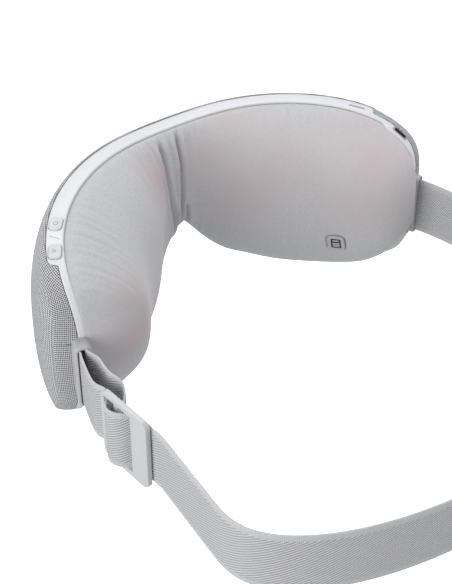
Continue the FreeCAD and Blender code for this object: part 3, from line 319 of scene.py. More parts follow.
def copy_of(name, node, bevel=0.0):
    """A CAD node's shape as a new piece, flat faces merged and edges rounded."""
    mesh = bpy.data.meshes.new(name)
    work = bmesh.new()
    work.from_mesh(frame["nodes"][node].data)
    bmesh.ops.remove_doubles(work, verts=work.verts, dist=1e-6)
    bmesh.ops.dissolve_limit(work, angle_limit=math.radians(1.0), verts=work.verts,
                             edges=work.edges)
    work.to_mesh(mesh)
    work.free()
    obj = bpy.data.objects.new(name, mesh)
    bpy.context.scene.collection.objects.link(obj)
    if bevel:
        modifier = obj.modifiers.new("edges", "BEVEL")
        modifier.width = bevel * MM
        modifier.segments = 4
        modifier.limit_method = "ANGLE"
        modifier.angle_limit = math.radians(40)
        apply_modifiers(obj)
    obj.data.shade_smooth()
    obj.data.set_sharp_from_angle(angle=math.radians(35))
    return obj


# ---- materials ----

def add_node(tree, kind, inputs=None, **settings):
    made = tree.nodes.new(kind)
    for key, value in settings.items():
        setattr(made, key, value)
    for key, value in (inputs or {}).items():
        if isinstance(value, bpy.types.NodeSocket):
            tree.links.new(value, made.inputs[key])
        else:
            made.inputs[key].default_value = value
    return made


def maths(tree, operation, first, second=0.0, clamp=False):
    made = add_node(tree, "ShaderNodeMath", {0: first, 1: second}, operation=operation,
                    use_clamp=clamp)
    return made.outputs[0]


def mix_colour(tree, share, first, second):
    made = add_node(tree, "ShaderNodeMix", {0: share, 6: first, 7: second}, data_type="RGBA")
    return made.outputs[2]


def ramp(tree, value, low, high):
    """Zero below low, one above high."""
    made = add_node(tree, "ShaderNodeMapRange", {0: value, 1: low, 2: high}, clamp=True,
                    interpolation_type="SMOOTHSTEP")
    return made.outputs[0]


def noise(tree, vector, scale, detail=3.0):
    inputs = {"Vector": vector, "Scale": scale, "Detail": detail}
    return add_node(tree, "ShaderNodeTexNoise", inputs).outputs[0]


def cell_distance(tree, vector, scale, randomness):
    """Distance to the nearest point of a flat pattern of cells."""
    inputs = {"Vector": vector, "Scale": scale, "Randomness": randomness}
    made = add_node(tree, "ShaderNodeTexVoronoi", inputs, voronoi_dimensions="2D")
    return made.outputs["Distance"]


def bump(tree, shader, layers):
    """Stack bump layers, each (height, strength, depth in millimetres)."""
    normal = None
    for height, strength, depth in layers:
        inputs = {"Height": height, "Strength": strength, "Distance": depth * MM}
        if normal is not None:
            inputs["Normal"] = normal
        normal = add_node(tree, "ShaderNodeBump", inputs).outputs[0]
    tree.links.new(normal, shader.inputs["Normal"])


def new_material(name, colour, roughness, **sockets):
    material = bpy.data.materials.new(name)
    material.use_nodes = True
    tree = material.node_tree
    shader = tree.nodes["Principled BSDF"]
    shader.inputs["Base Color"].default_value = (*colour, 1)
    shader.inputs["Roughness"].default_value = roughness
    for key, value in sockets.items():
        shader.inputs[key.replace("_", " ")].default_value = value
    return material, tree, shader


def coordinates(tree):
    return add_node(tree, "ShaderNodeTexCoord").outputs["Object"]


def surface_uv(tree):
    return add_node(tree, "ShaderNodeUVMap", uv_map="surface").outputs[0]


def plastic(name, colour, roughness, grain=0.06, metallic=0.0):
    """Moulded or machined surface: fine grain, faint mottling, small changes in gloss."""
    material, tree, shader = new_material(name, colour, roughness, Metallic=metallic)
    place = coordinates(tree)
    mottle = noise(tree, place, MOTTLE_SCALE)
    darker = tuple(c * MOTTLE_SHADE for c in colour)
    tint = mix_colour(tree, mottle, (*darker, 1), (*colour, 1))
    tree.links.new(tint, shader.inputs["Base Color"])
    uneven = maths(tree, "MULTIPLY", noise(tree, place, GLOSS_SCALE), GLOSS_CHANGE)
    gloss = maths(tree, "ADD", uneven, roughness - GLOSS_CHANGE / 2)
    tree.links.new(gloss, shader.inputs["Roughness"])
    if grain:
        bump(tree, shader, [(noise(tree, place, GRAIN_SCALE, 2.0), grain, GRAIN_DEPTH)])
    return material


def knit_material():
    """Open knit: rows of small holes between light threads; the holes are painted near-black as
    shade.
    """
    material, tree, shader = new_material("open_knit", YARN_MEAN, 0.8, Sheen_Weight=0.25)
    uv = surface_uv(tree)
    hole = ramp(tree, cell_distance(tree, uv, 1 / KNIT_PITCH, 0.0), *HOLE_EDGE)
    threads = cell_distance(tree, uv, 4 / KNIT_PITCH, 0.6)
    yarn = mix_colour(tree, threads, YARN_LIGHT, YARN_SHADE)
    patchy = noise(tree, coordinates(tree), 90.0)
    yarn = mix_colour(tree, maths(tree, "MULTIPLY", patchy, 0.3), yarn, YARN_WORN)
    # The holes are painted near-black: painted shade for the dark space behind the knit.
    colour = mix_colour(tree, hole, yarn, HOLE_SHADE_COLOUR)
    tree.links.new(colour, shader.inputs["Base Color"])
    solid = maths(tree, "SUBTRACT", 1.0, hole)
    bump(tree, shader, [(solid, 1.0, 0.5), (threads, 0.3, 0.12)])
    return material


def pad_material():
    """Soft brushed fabric: tight fine knit under a short nap, warm in a few places."""
    material, tree, shader = new_material("brushed_pad", PAD_COLOUR, 0.85, Sheen_Weight=0.35,
                                          Sheen_Roughness=0.5)
    place = coordinates(tree)
    patchy = 0.0
    for arc, share, reach in WARM_PLACES:
        spot = add_node(tree, "ShaderNodeVectorMath", {0: place}, operation="DISTANCE")
        low, high = bottom_height(arc), top_height(arc)
        height = (low + high) / 2 + (high - low) / 2 * share
        centre = around(np.array(float(arc)), float(pad_radius(arc, share)), height)
        spot.inputs[1].default_value = tuple(centre * MM)
        patchy = maths(tree, "ADD", patchy, ramp(tree, spot.outputs["Value"], reach * MM, 0.0))
    uneven = ramp(tree, noise(tree, place, 30.0, 2.0), 0.3, 0.7)
    share = maths(tree, "MULTIPLY", patchy, maths(tree, "ADD", uneven, 0.4), True)
    warm = mix_colour(tree, share, (*PAD_COLOUR, 1), (*PAD_WARM, 1))
    nap = noise(tree, place, 1100.0)
    shade = tuple(c * NAP_SHADE for c in PAD_COLOUR)
    colour = mix_colour(tree, ramp(tree, nap, 0.3, 0.75), warm, (*shade, 1))
    tree.links.new(colour, shader.inputs["Base Color"])
    stitches = cell_distance(tree, surface_uv(tree), STITCH_SCALE, 0.35)
    bump(tree, shader, [(noise(tree, place, 60.0), 0.3, 0.6), (nap, 0.25, 0.15),
                        (stitches, 0.25, 0.10)])
    return material


def strap_material():
    """Elastic webbing: fine diagonal ribs between two plain selvedges; the grooves between ribs
    are painted darker as shade.
    """
    material, tree, shader = new_material("ribbed_webbing", STRAP_COLOUR, 0.75,
                                          Sheen_Weight=0.2)
    uv = surface_uv(tree)
    parts = add_node(tree, "ShaderNodeSeparateXYZ", {0: uv})
    along, across = parts.outputs[0], parts.outputs[1]
    slant = maths(tree, "SUBTRACT", maths(tree, "MULTIPLY", across, RIB_LEAN[0]),
                  maths(tree, "MULTIPLY", along, RIB_LEAN[1]))
    rib = maths(tree, "SINE", maths(tree, "MULTIPLY", slant, 2 * math.pi / RIB_PITCH))
    rib = maths(tree, "ADD", maths(tree, "MULTIPLY", rib, 0.5), 0.5)
    edge = ramp(tree, maths(tree, "ABSOLUTE", across), STRAP_WIDTH / 2 - SELVEDGE,
                STRAP_WIDTH / 2 - SELVEDGE + SELVEDGE_BLEND)
    weft = maths(tree, "SINE", maths(tree, "MULTIPLY", along, 2 * math.pi / WEFT_PITCH))
    plain = maths(tree, "ADD", maths(tree, "MULTIPLY", weft, 0.12), 0.62)
    keep = maths(tree, "SUBTRACT", 1.0, edge)
    height = maths(tree, "ADD", maths(tree, "MULTIPLY", rib, keep),
                   maths(tree, "MULTIPLY", plain, edge))
    fibres = noise(tree, coordinates(tree), 700.0)
    # The rib grooves are painted darker by the rib height: painted shade in the grooves.
    low = tuple(c * RIB_SHADE for c in STRAP_COLOUR)
    colour = mix_colour(tree, height, (*low, 1), (*STRAP_COLOUR, 1))
    colour = mix_colour(tree, maths(tree, "MULTIPLY", fibres, 0.25), colour, FIBRE_COLOUR)
    tree.links.new(colour, shader.inputs["Base Color"])
    bump(tree, shader, [(height, 0.8, 0.4), (fibres, 0.3, 0.1)])
    return material


MOTTLE_SCALE, MOTTLE_SHADE = 60.0, 0.94
GLOSS_SCALE, GLOSS_CHANGE = 240.0, 0.10
GRAIN_SCALE, GRAIN_DEPTH = 2600.0, 0.05
KNIT_PITCH, HOLE_EDGE = 1.2, (0.44, 0.26)
YARN_MEAN, YARN_LIGHT = (0.62, 0.62, 0.63), (0.84, 0.84, 0.85, 1)
YARN_SHADE = (0.64, 0.64, 0.65, 1)
# The knit's hole colour is painted shade, not the yarn's own colour.
YARN_WORN, HOLE_SHADE_COLOUR = (0.5, 0.5, 0.5, 1), (0.10, 0.10, 0.105, 1)
PAD_COLOUR, PAD_WARM = (0.60, 0.60, 0.605), (0.63, 0.47, 0.50)
NAP_SHADE, STITCH_SCALE = 0.88, 1.6
WARM_PLACES = ((-106.0, 0.65, 44.0), (-32.0, 0.5, 44.0), (120.0, 0.25, 32.0),
               (24.0, 0.6, 22.0))  # arc length, share from middle to edge, reach
STRAP_COLOUR, FIBRE_COLOUR = (0.70, 0.70, 0.71), (0.55, 0.55, 0.56, 1)
RIB_PITCH, RIB_LEAN, RIB_SHADE, WEFT_PITCH = 1.25, (0.88, 0.47), 0.54, 0.8
SELVEDGE, SELVEDGE_BLEND, SELVEDGE_THIN = 3.2, 0.5, 0.86
FRAME_COLOUR = (0.80, 0.80, 0.83)

frame_plastic = plastic("satin_frame", FRAME_COLOUR, 0.42)
# The sockets use the frame's plastic painted darker: painted shade, not a different plastic.
shaded_socket_plastic = plastic("satin_socket_painted_shade", (0.52, 0.52, 0.54), 0.45)
key_plastic = plastic("satin_key", (0.70, 0.70, 0.73), 0.45)
slider_plastic = plastic("glossy_buckle", (0.62, 0.63, 0.65), 0.32, 0)
mark_plastic = plastic("grey_mark", (0.36, 0.37, 0.40), 0.5)
dark_glass = plastic("dark_window", (0.015, 0.015, 0.017), 0.12, 0.01)
bezel_rubber = plastic("soft_bezel", (0.56, 0.54, 0.545), 0.7, 0.12)
pale_glass = plastic("pale_window", (0.42, 0.42, 0.43), 0.3, 0.03)
light_lens = plastic("warm_lens", (0.48, 0.44, 0.37), 0.4, 0.04)
seam_thread = plastic("seam_thread", (0.40, 0.40, 0.41), 0.8, 0)
knit = knit_material()
pad_fabric = pad_material()
webbing = strap_material()


def dress(obj, material):
    obj.data.materials.clear()
    obj.data.materials.append(material)
    return obj


# ---- the frame band ----

def rim_front(arc):
    """Depth of the frame's front edge: wide, then narrow with a rounded corner."""
    end = np.where(arc > 0, LEFT_WIDE, RIGHT_WIDE)
    share = np.clip((np.abs(arc) - (end - RIM_CORNER)) / RIM_CORNER, 0, 1)
    drop = 1 - np.sqrt(np.clip(1 - share ** 2, 0, 1))
    after = np.where(np.abs(arc) > end, 1.0, drop * CORNER_SHARE)
    return RIM_DEPTH - (RIM_DEPTH - RIM_NARROW) * after


def outline(arcs, low_of):
    """Closed loop of arc length and height, and the outward direction at each point."""
    loop_arc = np.concatenate([arcs, arcs[-2:0:-1]])
    high, low = top_height(arcs), low_of(arcs)
    middle = (high[[0, -1]] + low[[0, -1]]) / 2
    high[[0, -1]], low[[0, -1]] = middle, middle
    height = np.concatenate([high, low[-2:0:-1]])
    along = np.roll(loop_arc, -1) - np.roll(loop_arc, 1)
    rise = np.roll(height, -1) - np.roll(height, 1)
    length = np.hypot(along, rise)
    return loop_arc, height, -rise / length, along / length


def band(name, low_of, profile_of):
    """Sweep a closed profile of (outward, depth) pairs round the whole outline."""
    arc, height, out_arc, out_height = outline(stations(BAND_STATIONS), low_of)
    columns = []
    for outward, depth in profile_of(arc):
        columns.append(around(arc + outward * out_arc, seam_at(arc, height) + depth,
                              height + outward * out_height))
    columns.append(columns[0])
    points = np.stack(columns, 1)
    return grid(name, np.concatenate([points, points[:1]]), None, 40.0)


def rim_profile(arc):
    """Frame section with rounded outer edges; it swells towards the pad at the port."""
    swell = PORT_SWELL * smooth(PORT_REACH - np.abs(arc - PORT_ARC), 0.0, PORT_FADE)
    port_side = np.where(arc < 0, 1.0, 0.0) * swell
    front, back = rim_front(arc), -port_side
    profile = [(-RIM_WALL, back), (-RIM_ROUND, back)]
    corner = [(-RIM_ROUND * (1 - math.sin(angle)), RIM_ROUND * (1 - math.cos(angle)))
              for angle in np.radians([30, 60, 90])]
    profile += [(outward, back + depth) for outward, depth in corner]
    for share in (0.3, 0.6):
        profile.append((0.0, back + RIM_ROUND + (front - back - 2 * RIM_ROUND) * share))
    profile += [(outward, front - depth) for outward, depth in reversed(corner)]
    profile += [(-RIM_ROUND, front), (-RIM_WALL, front)]
    return [(outward + 0 * arc, depth + 0 * arc) for outward, depth in profile]


def cut_slot(rim, slot, levels, place):
    """Cut a rounded slot into the frame between two levels."""
    carve(rim, stack("slot", [(*slot, level) for level in levels], place))


def frame_band():
    """The hard band round the mask, with its button wells, line, port mouth and light slot."""
    rim = band("frame_band", frame_bottom, rim_profile)
    well = (BUTTON_SIZE[0] + BUTTON_GAP, BUTTON_SIZE[1] + BUTTON_GAP, BUTTON_HOLE_ROUND)
    for arc in BUTTONS:
        cut_slot(rim, well, (-6, 6), edge_frame(arc, BUTTON_DEPTH))
    turn, origin = edge_frame((BUTTONS[0] + BUTTONS[1]) / 2, BUTTON_DEPTH)
    turned = turn @ Matrix.Rotation(math.radians(LINE_TURN), 3, "Z")
    cut_slot(rim, LINE_SLOT, (-0.4, 3.0), (turned, origin))
    cut_slot(rim, PORT_SLOT, (-9, 4), edge_frame(PORT_ARC, PORT_DEPTH))
    cut_slot(rim, LIGHT_SLOT, (-5, 4), edge_frame(LIGHT_ARC, BUTTON_DEPTH))
    rim.data.shade_smooth()
    rim.data.set_sharp_from_angle(angle=math.radians(40))
    dress(rim, frame_plastic)
    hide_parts("left_rim", "right_rim", "bridge_rim")
    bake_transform(rim)


def seam_line():
    """The dark line of stitching where the pad meets the frame."""
    def section(arc):
        return [(outward + 0 * arc, depth + 0 * arc) for outward, depth in SEAM_SECTION]
    line = band("pad_seam", bottom_height, section)
    dress(line, seam_thread)
    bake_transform(line)


# ---- the knit front ----

def rows(count):
    """Shares from the lower edge (-1) to the upper one (1), closer together at both."""
    return np.sin(np.linspace(-math.pi / 2, math.pi / 2, count))


def edge_normals(arcs, edge, side):
    """Outward directions of the top or bottom edge in arc length and height."""
    slope = np.gradient(edge, arcs)
    slope[[0, -1]] = np.array([1.0, -1.0]) * side * STEEP
    length = np.hypot(slope, 1)
    return np.stack([-side * slope / length, side / length], -1)


def knit_front():
    """The knit cover: a thin domed shell whose rounded lips stand behind the frame."""
    arcs, share = stations(KNIT_STATIONS), rows(KNIT_ROWS)
    low, high = frame_bottom(arcs), top_height(arcs)
    low_out, high_out = edge_normals(arcs, low, -1), edge_normals(arcs, high, 1)
    soft = KNIT_ROUND[0] + (KNIT_ROUND[1] - KNIT_ROUND[0]) * smooth(arcs, *LEFT_LIP)
    soft = soft + (KNIT_ROUND[2] - KNIT_ROUND[0]) * smooth(-arcs, *RIGHT_ROUND)
    up = (1 + share[None]) / 2
    pull = high_out[:, None] * up[..., None] + low_out[:, None] * (1 - up)[..., None]
    flat = np.stack(np.broadcast_arrays(arcs[:, None],
                                        low[:, None] + (high - low)[:, None] * up), -1)
    columns, marks = [], []
    for shrink in (0.0, KNIT_WALL):
        inner = flat - pull * (soft + shrink)[:, None, None]
        under, over = frame_bottom(inner[..., 0]), top_height(inner[..., 0])
        place = (2 * inner[..., 1] - under - over) / np.maximum(over - under, 1.0)
        radius = dome_radius(inner[..., 0], np.clip(place, -1, 1), shrink)
        body = around(inner[..., 0], radius, inner[..., 1])
        walls = []
        for row, out in ((0, low_out), (-1, high_out)):
            base = seam_at(arcs, flat[:, row, 1]) + rim_front(arcs) + LIP_GAP
            wall = []
            for step in np.radians(LIP_ANGLES):
                inset = soft * (1 - math.cos(step)) + shrink
                place = flat[:, row] - out * inset[:, None]
                level = base + (radius[:, row] - base) * math.sin(step)
                reach = place + out * ((radius[:, row] - level) * LIP_PRINT)[:, None]
                wall.append((around(place[:, 0], level, place[:, 1]), reach))
            walls.append(wall)
        first, last = walls[0], walls[1][::-1]
        shell = [p[:, None] for p, _ in first] + [body] + [p[:, None] for p, _ in last]
        print_at = [m[:, None] for _, m in first] + [inner] + [m[:, None] for _, m in last]
        shell, print_at = np.concatenate(shell, 1), np.concatenate(print_at, 1)
        turned = slice(None, None, -1 if shrink else 1)
        columns.append(shell[:, turned])
        marks.append(print_at[:, turned])
    points = np.concatenate(columns + [columns[0][:, :1]], 1)
    uvs = np.concatenate(marks + [marks[0][:, :1]], 1) * np.array(PRINT_STRETCH)
    cover = grid("knit_front", points, uvs, 60.0)
    dress(cover, knit)
    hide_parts("left_mesh_cover", "right_mesh_cover", "bridge_mesh",
                "right_front_shell")
    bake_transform(cover)


# ---- the pad ----

def sensor_frame():
    """On the right lobe of the pad, Z out of the pad: rotation and origin."""
    def surface(arc, share):
        low, high = bottom_height(arc), top_height(arc)
        height = (high + low) / 2 + (high - low) / 2 * share
        return Vector(around(np.array(-arc), float(pad_radius(arc, share)), float(height)))
    centre = surface(SENSOR_ARC, SENSOR_SHARE)
    across = (surface(SENSOR_ARC - ARC_STEP, SENSOR_SHARE)
              - surface(SENSOR_ARC + ARC_STEP, SENSOR_SHARE)).normalized()
    upward = (surface(SENSOR_ARC, SENSOR_SHARE + SHARE_STEP)
              - surface(SENSOR_ARC, SENSOR_SHARE - SHARE_STEP))
    normal = across.cross(upward).normalized()
    if normal.y < 0:
        normal = -normal
    upward = normal.cross(across).normalized()
    return Matrix((across, upward, normal)).transposed(), centre


# Each crease: shares from middle to edge, the arc lengths there, depth and width.
CREASES = (
    ((0.91, 0.67, 0.37, 0.02, -0.37, -0.7), (10.0, 11.0, 12.0, 11.5, 9.5, 8.5), 3.0, 1.2),
    ((0.93, 0.66, 0.34, -0.16, -0.63, -0.9), (-1.0, -0.5, -0.5, 1.5, 4.5, 5.0), 2.7, 1.15),
    ((-0.45, -0.6, -0.75, -0.88, -0.95), (0.0, -0.6, -1.2, -1.6, -2.0), 2.2, 1.0),
)
SWELL_HEIGHT, SWELL_PLACE, SWELL_WIDTH = 0.35, 2.4, 1.3  # beside a crease, in its sizes
PUCKER_HEIGHT, PUCKER_CHANGE, PUCKER_REACH = 0.28, 0.14, 7.5
PUCKER_CALM, CALM_ARCS = 0.75, (10.0, 30.0)  # fainter puckers on the right lobe
LUMP_HEIGHT, LUMP_EDGES = 0.32, (2.0, 10.0)
SENSOR_BED, BED_EDGES, BED_DEPTH = 1.6, (4.7, 6.0), 8  # flat bed under the sensor
DIMPLE, DIMPLE_PLACE, DIMPLE_WIDTH = 0.6, 5.6, 4.0  # soft hollow round it


def crease(arc, share, places, arcs, depth, width):
    """A sharp fold with a soft swelling on each side of it."""
    order = np.argsort(places)
    line = np.interp(share, np.array(places)[order], np.array(arcs)[order])
    low, high = min(places), max(places)
    fade = smooth(share, low - 0.1, low + 0.15) * (1 - smooth(share, high - 0.15, high + 0.05))
    away = (arc - line) / width
    swell = SWELL_HEIGHT * np.exp(-((np.abs(away) - SWELL_PLACE) / SWELL_WIDTH) ** 2)
    return -depth * fade * (np.exp(-np.abs(away) ** 1.5) - swell)


def pad_relief(arc, share, points):
    """Height of folds, puckers and lumps on the pad, in millimetres."""
    relief = np.zeros_like(arc)
    for places, arcs, depth, width in CREASES:
        relief += crease(arc, share, places, arcs, depth, width)
    half = (top_height(arc) - bottom_height(arc)) / 2
    edge = (1 - np.abs(share)) * half
    wander = 0.6 * np.sin(arc / 9.0 + 1.3) + 0.5 * np.sin(arc / 23.0)
    pucker = np.sin(arc * 1.05 + wander) + 0.6 * np.sin(arc * 1.71 + 2 * wander + 1.0)
    strength = PUCKER_HEIGHT + PUCKER_CHANGE * np.sin(arc / 13.0 + 0.6)
    strength = strength * (1 - PUCKER_CALM * smooth(-arc, *CALM_ARCS))
    relief += strength * pucker * np.exp(-edge / PUCKER_REACH) * smooth(edge, 0.0, 1.5)
    x, y, z = points[..., 0], points[..., 1], points[..., 2]
    lumps = np.sin(x / 11.0 + 0.7) * np.sin(z / 9.0 + 0.4)
    lumps = lumps + 0.6 * np.sin((x + z) / 6.3 + y / 8.0)
    relief += LUMP_HEIGHT * lumps * smooth(edge, *LUMP_EDGES)
    turn, centre = sensor_frame()
    local = (points - np.array(centre)) @ np.array(turn)
    reach = (np.abs(local[..., 0]) ** 4 + np.abs(local[..., 1]) ** 4) ** 0.25
    near = np.abs(local[..., 2]) < BED_DEPTH
    relief += np.where(near, -SENSOR_BED * (1 - smooth(reach, *BED_EDGES)), 0.0)
    dimple = -DIMPLE * np.exp(-((reach - DIMPLE_PLACE) / DIMPLE_WIDTH) ** 2)
    relief += np.where(near, dimple, 0.0)
    return relief


def soft_pad():
    """The padded piece: a crowned front with its folds, closed by a back on the frame."""
    arcs, share = stations(PAD_STATIONS), rows(PAD_ROWS)
    arc = arcs[:, None] + 0 * share[None]
    side = share[None] + 0 * arc
    low, high = bottom_height(arc), top_height(arc)
    half = (high - low) / 2
    inset = PAD_TUCK * np.exp(-((1 - np.abs(side)) * half) / TUCK_REACH) * np.sign(side)
    height = (high + low) / 2 + half * side - inset * rounded(arc / HALF_ARC, 6.0)
    radius = pad_radius(arc, side)
    above = seam_radius(arc, side) - radius
    spill = PAD_SPILL * smooth(above, *SPILL_CROWN) * smooth(-arc, *SPILL_ARCS)
    spill = spill * smooth(side, *SPILL_SIDES)
    rise = PAD_RISE * smooth(-side, *RISE_SIDES) * smooth(above, *RISE_CROWN)
    rise = rise * smooth(np.abs(arc), *RISE_ARCS) * (1 - SINK * smooth(arc, *SINK_ARCS))
    points = around(arc - spill, radius, height + rise)
    along = np.gradient(points, axis=0)
    up = np.gradient(points, axis=1)
    normal = np.cross(up, along)
    length = np.linalg.norm(normal, axis=2, keepdims=True)
    normal = normal / np.maximum(length, 1e-9)
    facing = np.sign(np.sum(normal * (np.array([0, WRAP, 0]) - points), axis=2).mean())
    points = points + facing * normal * pad_relief(arc, side, points)[..., None]
    steps = np.linalg.norm(np.diff(points, axis=1), axis=2)
    across = np.concatenate([np.zeros((len(arcs), 1)), np.cumsum(steps, 1)], 1)
    middle, reach = (high[:, :1] + low[:, :1]) / 2, half[:, :1]
    back = []
    for level, depth in PAD_BACK:
        tall = middle + reach * level
        back.append(around(arcs[:, None], seam_at(arcs[:, None], tall) + depth, tall))
    closed = np.concatenate([points] + back + [points[:, :1]], 1)
    extra = closed.shape[1] - across.shape[1]
    across = np.concatenate([across, across[:, -1:] + np.arange(1, extra + 1)[None]], 1)
    uvs = np.stack([np.repeat(arcs[:, None], closed.shape[1], 1), across], -1)
    pad = grid("soft_pad", closed, uvs, 80.0)
    dress(pad, pad_fabric)
    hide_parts("left_pad_cover", "right_pad_cover", "bridge_pad", "left_foam_pad",
                "right_foam_pad")
    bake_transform(pad)


# ---- buttons and fittings ----

MARK_LEVEL, MARK_RISE = 0.62, 0.12  # raised symbols on the dished caps
KEY_FLANGE = ((9.6, 7.2, 1.5, -3.8), (9.6, 7.2, 1.5, -3.0), (8.0, 6.0, 1.8, -3.0))
KEY_CAP = (1.8, -2.9, 0.9, 0.55, 0.25)  # corner radius, base, top, soft edge, dish
POWER_RING, POWER_STROKE, STROKE_UP = (0.95, 0.28, 120, 420), (0.28, 1.2, 0.13), 0.9
MODE_RINGS = (("mode_inner", 0.35, 0.26, 0, 359), ("mode_outer", 1.15, 0.24, 200, 340))


def ring_mark(name, place, radius, width, start, end):
    """A raised arc on a button, as part of a ring from one angle to another."""
    turn, origin = place
    count, level, top = 24, MARK_LEVEL, MARK_LEVEL + MARK_RISE
    section = ((radius, level), (radius, top), (radius + width, top), (radius + width, level))
    points = np.zeros((count + 1, 5, 3))
    for i in range(count + 1):
        angle = math.radians(start + (end - start) * i / count)
        for j, (reach, tall) in enumerate(section + section[:1]):
            spot = Vector((reach * math.cos(angle), reach * math.sin(angle), tall))
            points[i, j] = turn @ spot + origin
    return grid(name, points, None, 30.0)


def keys():
    """Two soft-edged caps, each with a plain raised symbol."""
    for name, arc, body, node in (("power_cap", BUTTONS[0], "power_key", "power_button"),
                                  ("mode_cap", BUTTONS[1], "mode_key", "mode_button")):
        place = edge_frame(arc, BUTTON_DEPTH)
        cap = stack(name, [*KEY_FLANGE, *cap_layers(*BUTTON_SIZE, *KEY_CAP)], place, 40.0)
        dress(cap, key_plastic)
        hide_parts(node)
        marks = []
        if node == "power_button":
            marks.append(ring_mark("power_ring", place, *POWER_RING))
            upper = place[1] + place[0] @ Vector((0, STROKE_UP, 0))
            stroke = [(*POWER_STROKE, level) for level in (0.6, 0.78)]
            marks.append(stack("power_stroke", stroke, (place[0], upper)))
        else:
            marks += [ring_mark(mark[0], place, *mark[1:]) for mark in MODE_RINGS]
        for piece in [cap] + marks:
            if piece is not cap:
                dress(piece, mark_plastic)
            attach(piece, body)


def sockets():
    """The strap sockets at the temple ends: rounded sleeves, open towards the back."""
    for name, side, body in (("left_socket", 1, "left_half"), ("right_socket", -1, "right_half")):
        arc = END_ARC + SOCKET_LENGTH / 2 - SOCKET_SINK[side]
        slot_width, slot_height = SOCKET_SLOT, STRAP_WIDTH + 1
        wall = SOCKET_WALL[side]
        wide, tall = slot_width + 2 * wall, slot_height + 2 * wall
        front, rear, soft = -SOCKET_LENGTH / 2, SOCKET_LENGTH / 2, SOCKET_SOFT * wall
        layers = [(wide - 2 * soft, tall - 2 * soft, 2.0, front)]
        for face, inward, steps in ((front, 1, (1, 2, 3)), (rear, -1, (3, 2, 1, 0))):
            for step in steps:
                angle = math.radians(30 * step)
                inset = soft * (1 - math.sin(angle))
                layers.append((wide - 2 * inset, tall - 2 * inset, 2.6,
                               face + inward * soft * (1 - math.cos(angle))))
        layers += [(slot_width + SOCKET_EASE, slot_height + SOCKET_EASE, 2.0, rear),
                   (slot_width, slot_height, 1.8, rear - SOCKET_EASE),
                   (slot_width, slot_height, 1.8, front + wall)]
        lying = turn_at(arc) @ Matrix(((0, 0, 1), (1, 0, 0), (0, 1, 0)))
        origin = Vector(around(np.array(arc), SOCKET_RADIUS, SOCKET_HEIGHT[side]))
        sleeve = stack(name, layers, (lying, origin), 40.0)
        if side < 0:
            flip(sleeve)
        # The sleeve's darker grey is painted shade on the frame's plastic.
        dress(sleeve, shaded_socket_plastic)
        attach(sleeve, body)


def flip(obj):
    """Mirror a mesh across the mask's middle plane."""
    obj.data.transform(Matrix.Scale(-1, 4, (1, 0, 0)))
    obj.data.flip_normals()


def right_fittings():
    """The status light in the frame and the optical sensor in the pad."""
    light = edge_frame(LIGHT_ARC, BUTTON_DEPTH)
    lens = stack("light_lens", cap_layers(*LIGHT_LENS), light, 40.0)
    dress(lens, light_lens)
    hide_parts("status_light")
    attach(lens, "right_half")
    turn, centre = sensor_frame()
    bezel = stack("sensor_surround", SENSOR_RING, (turn, centre), 40.0)
    dress(bezel, bezel_rubber)
    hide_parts("sensor_bezel")
    pane = stack("sensor_pane", cap_layers(*SENSOR_PANE), (turn, centre), 40.0)
    dress(pane, dark_glass)
    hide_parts("sensor_window")
    patch = stack("sensor_lens", cap_layers(*SENSOR_LENS), (turn, centre), 40.0)
    dress(patch, pale_glass)
    aside = centre + turn @ Vector((0, BAR_OFFSET, 0))
    bar = stack("sensor_bar", cap_layers(*SENSOR_BAR), (turn, aside), 40.0)
    dress(bar, dark_glass)
    for piece in (bezel, pane, bar, patch):
        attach(piece, "right_half")


# ---- strap and buckle ----

SLIDER_AT, SLIDER_TURN = Vector((114.45, 119.9, RUN_HEIGHT)), math.radians(4.2)
REACH, CURVE_Y, CURVE_DEPTH = 115.2, 192.0, 50.0
LEG_OFFSET, THIN_WEB, FULL_WEB = 1.45, 1.2, 1.6
LEFT_SHARE = 0.11  # share of the strap behind the buckle in its first piece
UNDER_START, WRAP_START, RUN_START = 7.0, 44.0, 84.0  # where each piece's pattern starts
BUCKLE_BEVEL = 1.0
# Plan points in the buckle's own frame, Y towards the back of the head.
OUTER_END = ((-1.7, -24.0), (-2.4, -19.0), (-2.5, -15.8))
INNER_END = ((-9.8, -24.0), (-9.8, -14.5), (-6.4, -8.4), (-2.4, -4.6))
WRAP_PATH = ((-2.5, -15.8), (-2.5, -13.9), (-1.2, -12.2), (1.6, -10.8), (3.9, -8.6),
             (4.7, -5.8), (3.9, -2.6), (1.6, 0.4), (-1.0, 2.2), (-2.5, 4.0), (-2.7, 7.0),
             (-2.7, 10.5), (-2.6, 14.0), (-2.5, 17.8))
RUN_PATH = ((-2.5, 17.7), (-2.4, 21.0))


def in_slider(points):
    """Plan points given in the buckle's frame, on the mask."""
    turn = Matrix.Rotation(SLIDER_TURN, 3, "Z")
    moved = [turn @ Vector((x, y, 0)) + SLIDER_AT for x, y in points]
    return [(point.x, point.y) for point in moved]


def socket_exit(side, offset, beyond=0.0):
    """A plan point at a socket's mouth, beside its middle and some way beyond it."""
    arc = END_ARC + SOCKET_LENGTH - SOCKET_SINK[side]
    point = turn_at(arc) @ Vector((beyond, -offset, 0))
    point += Vector(around(np.array(arc), SOCKET_RADIUS, 0.0))
    return (side * point.x, point.y)


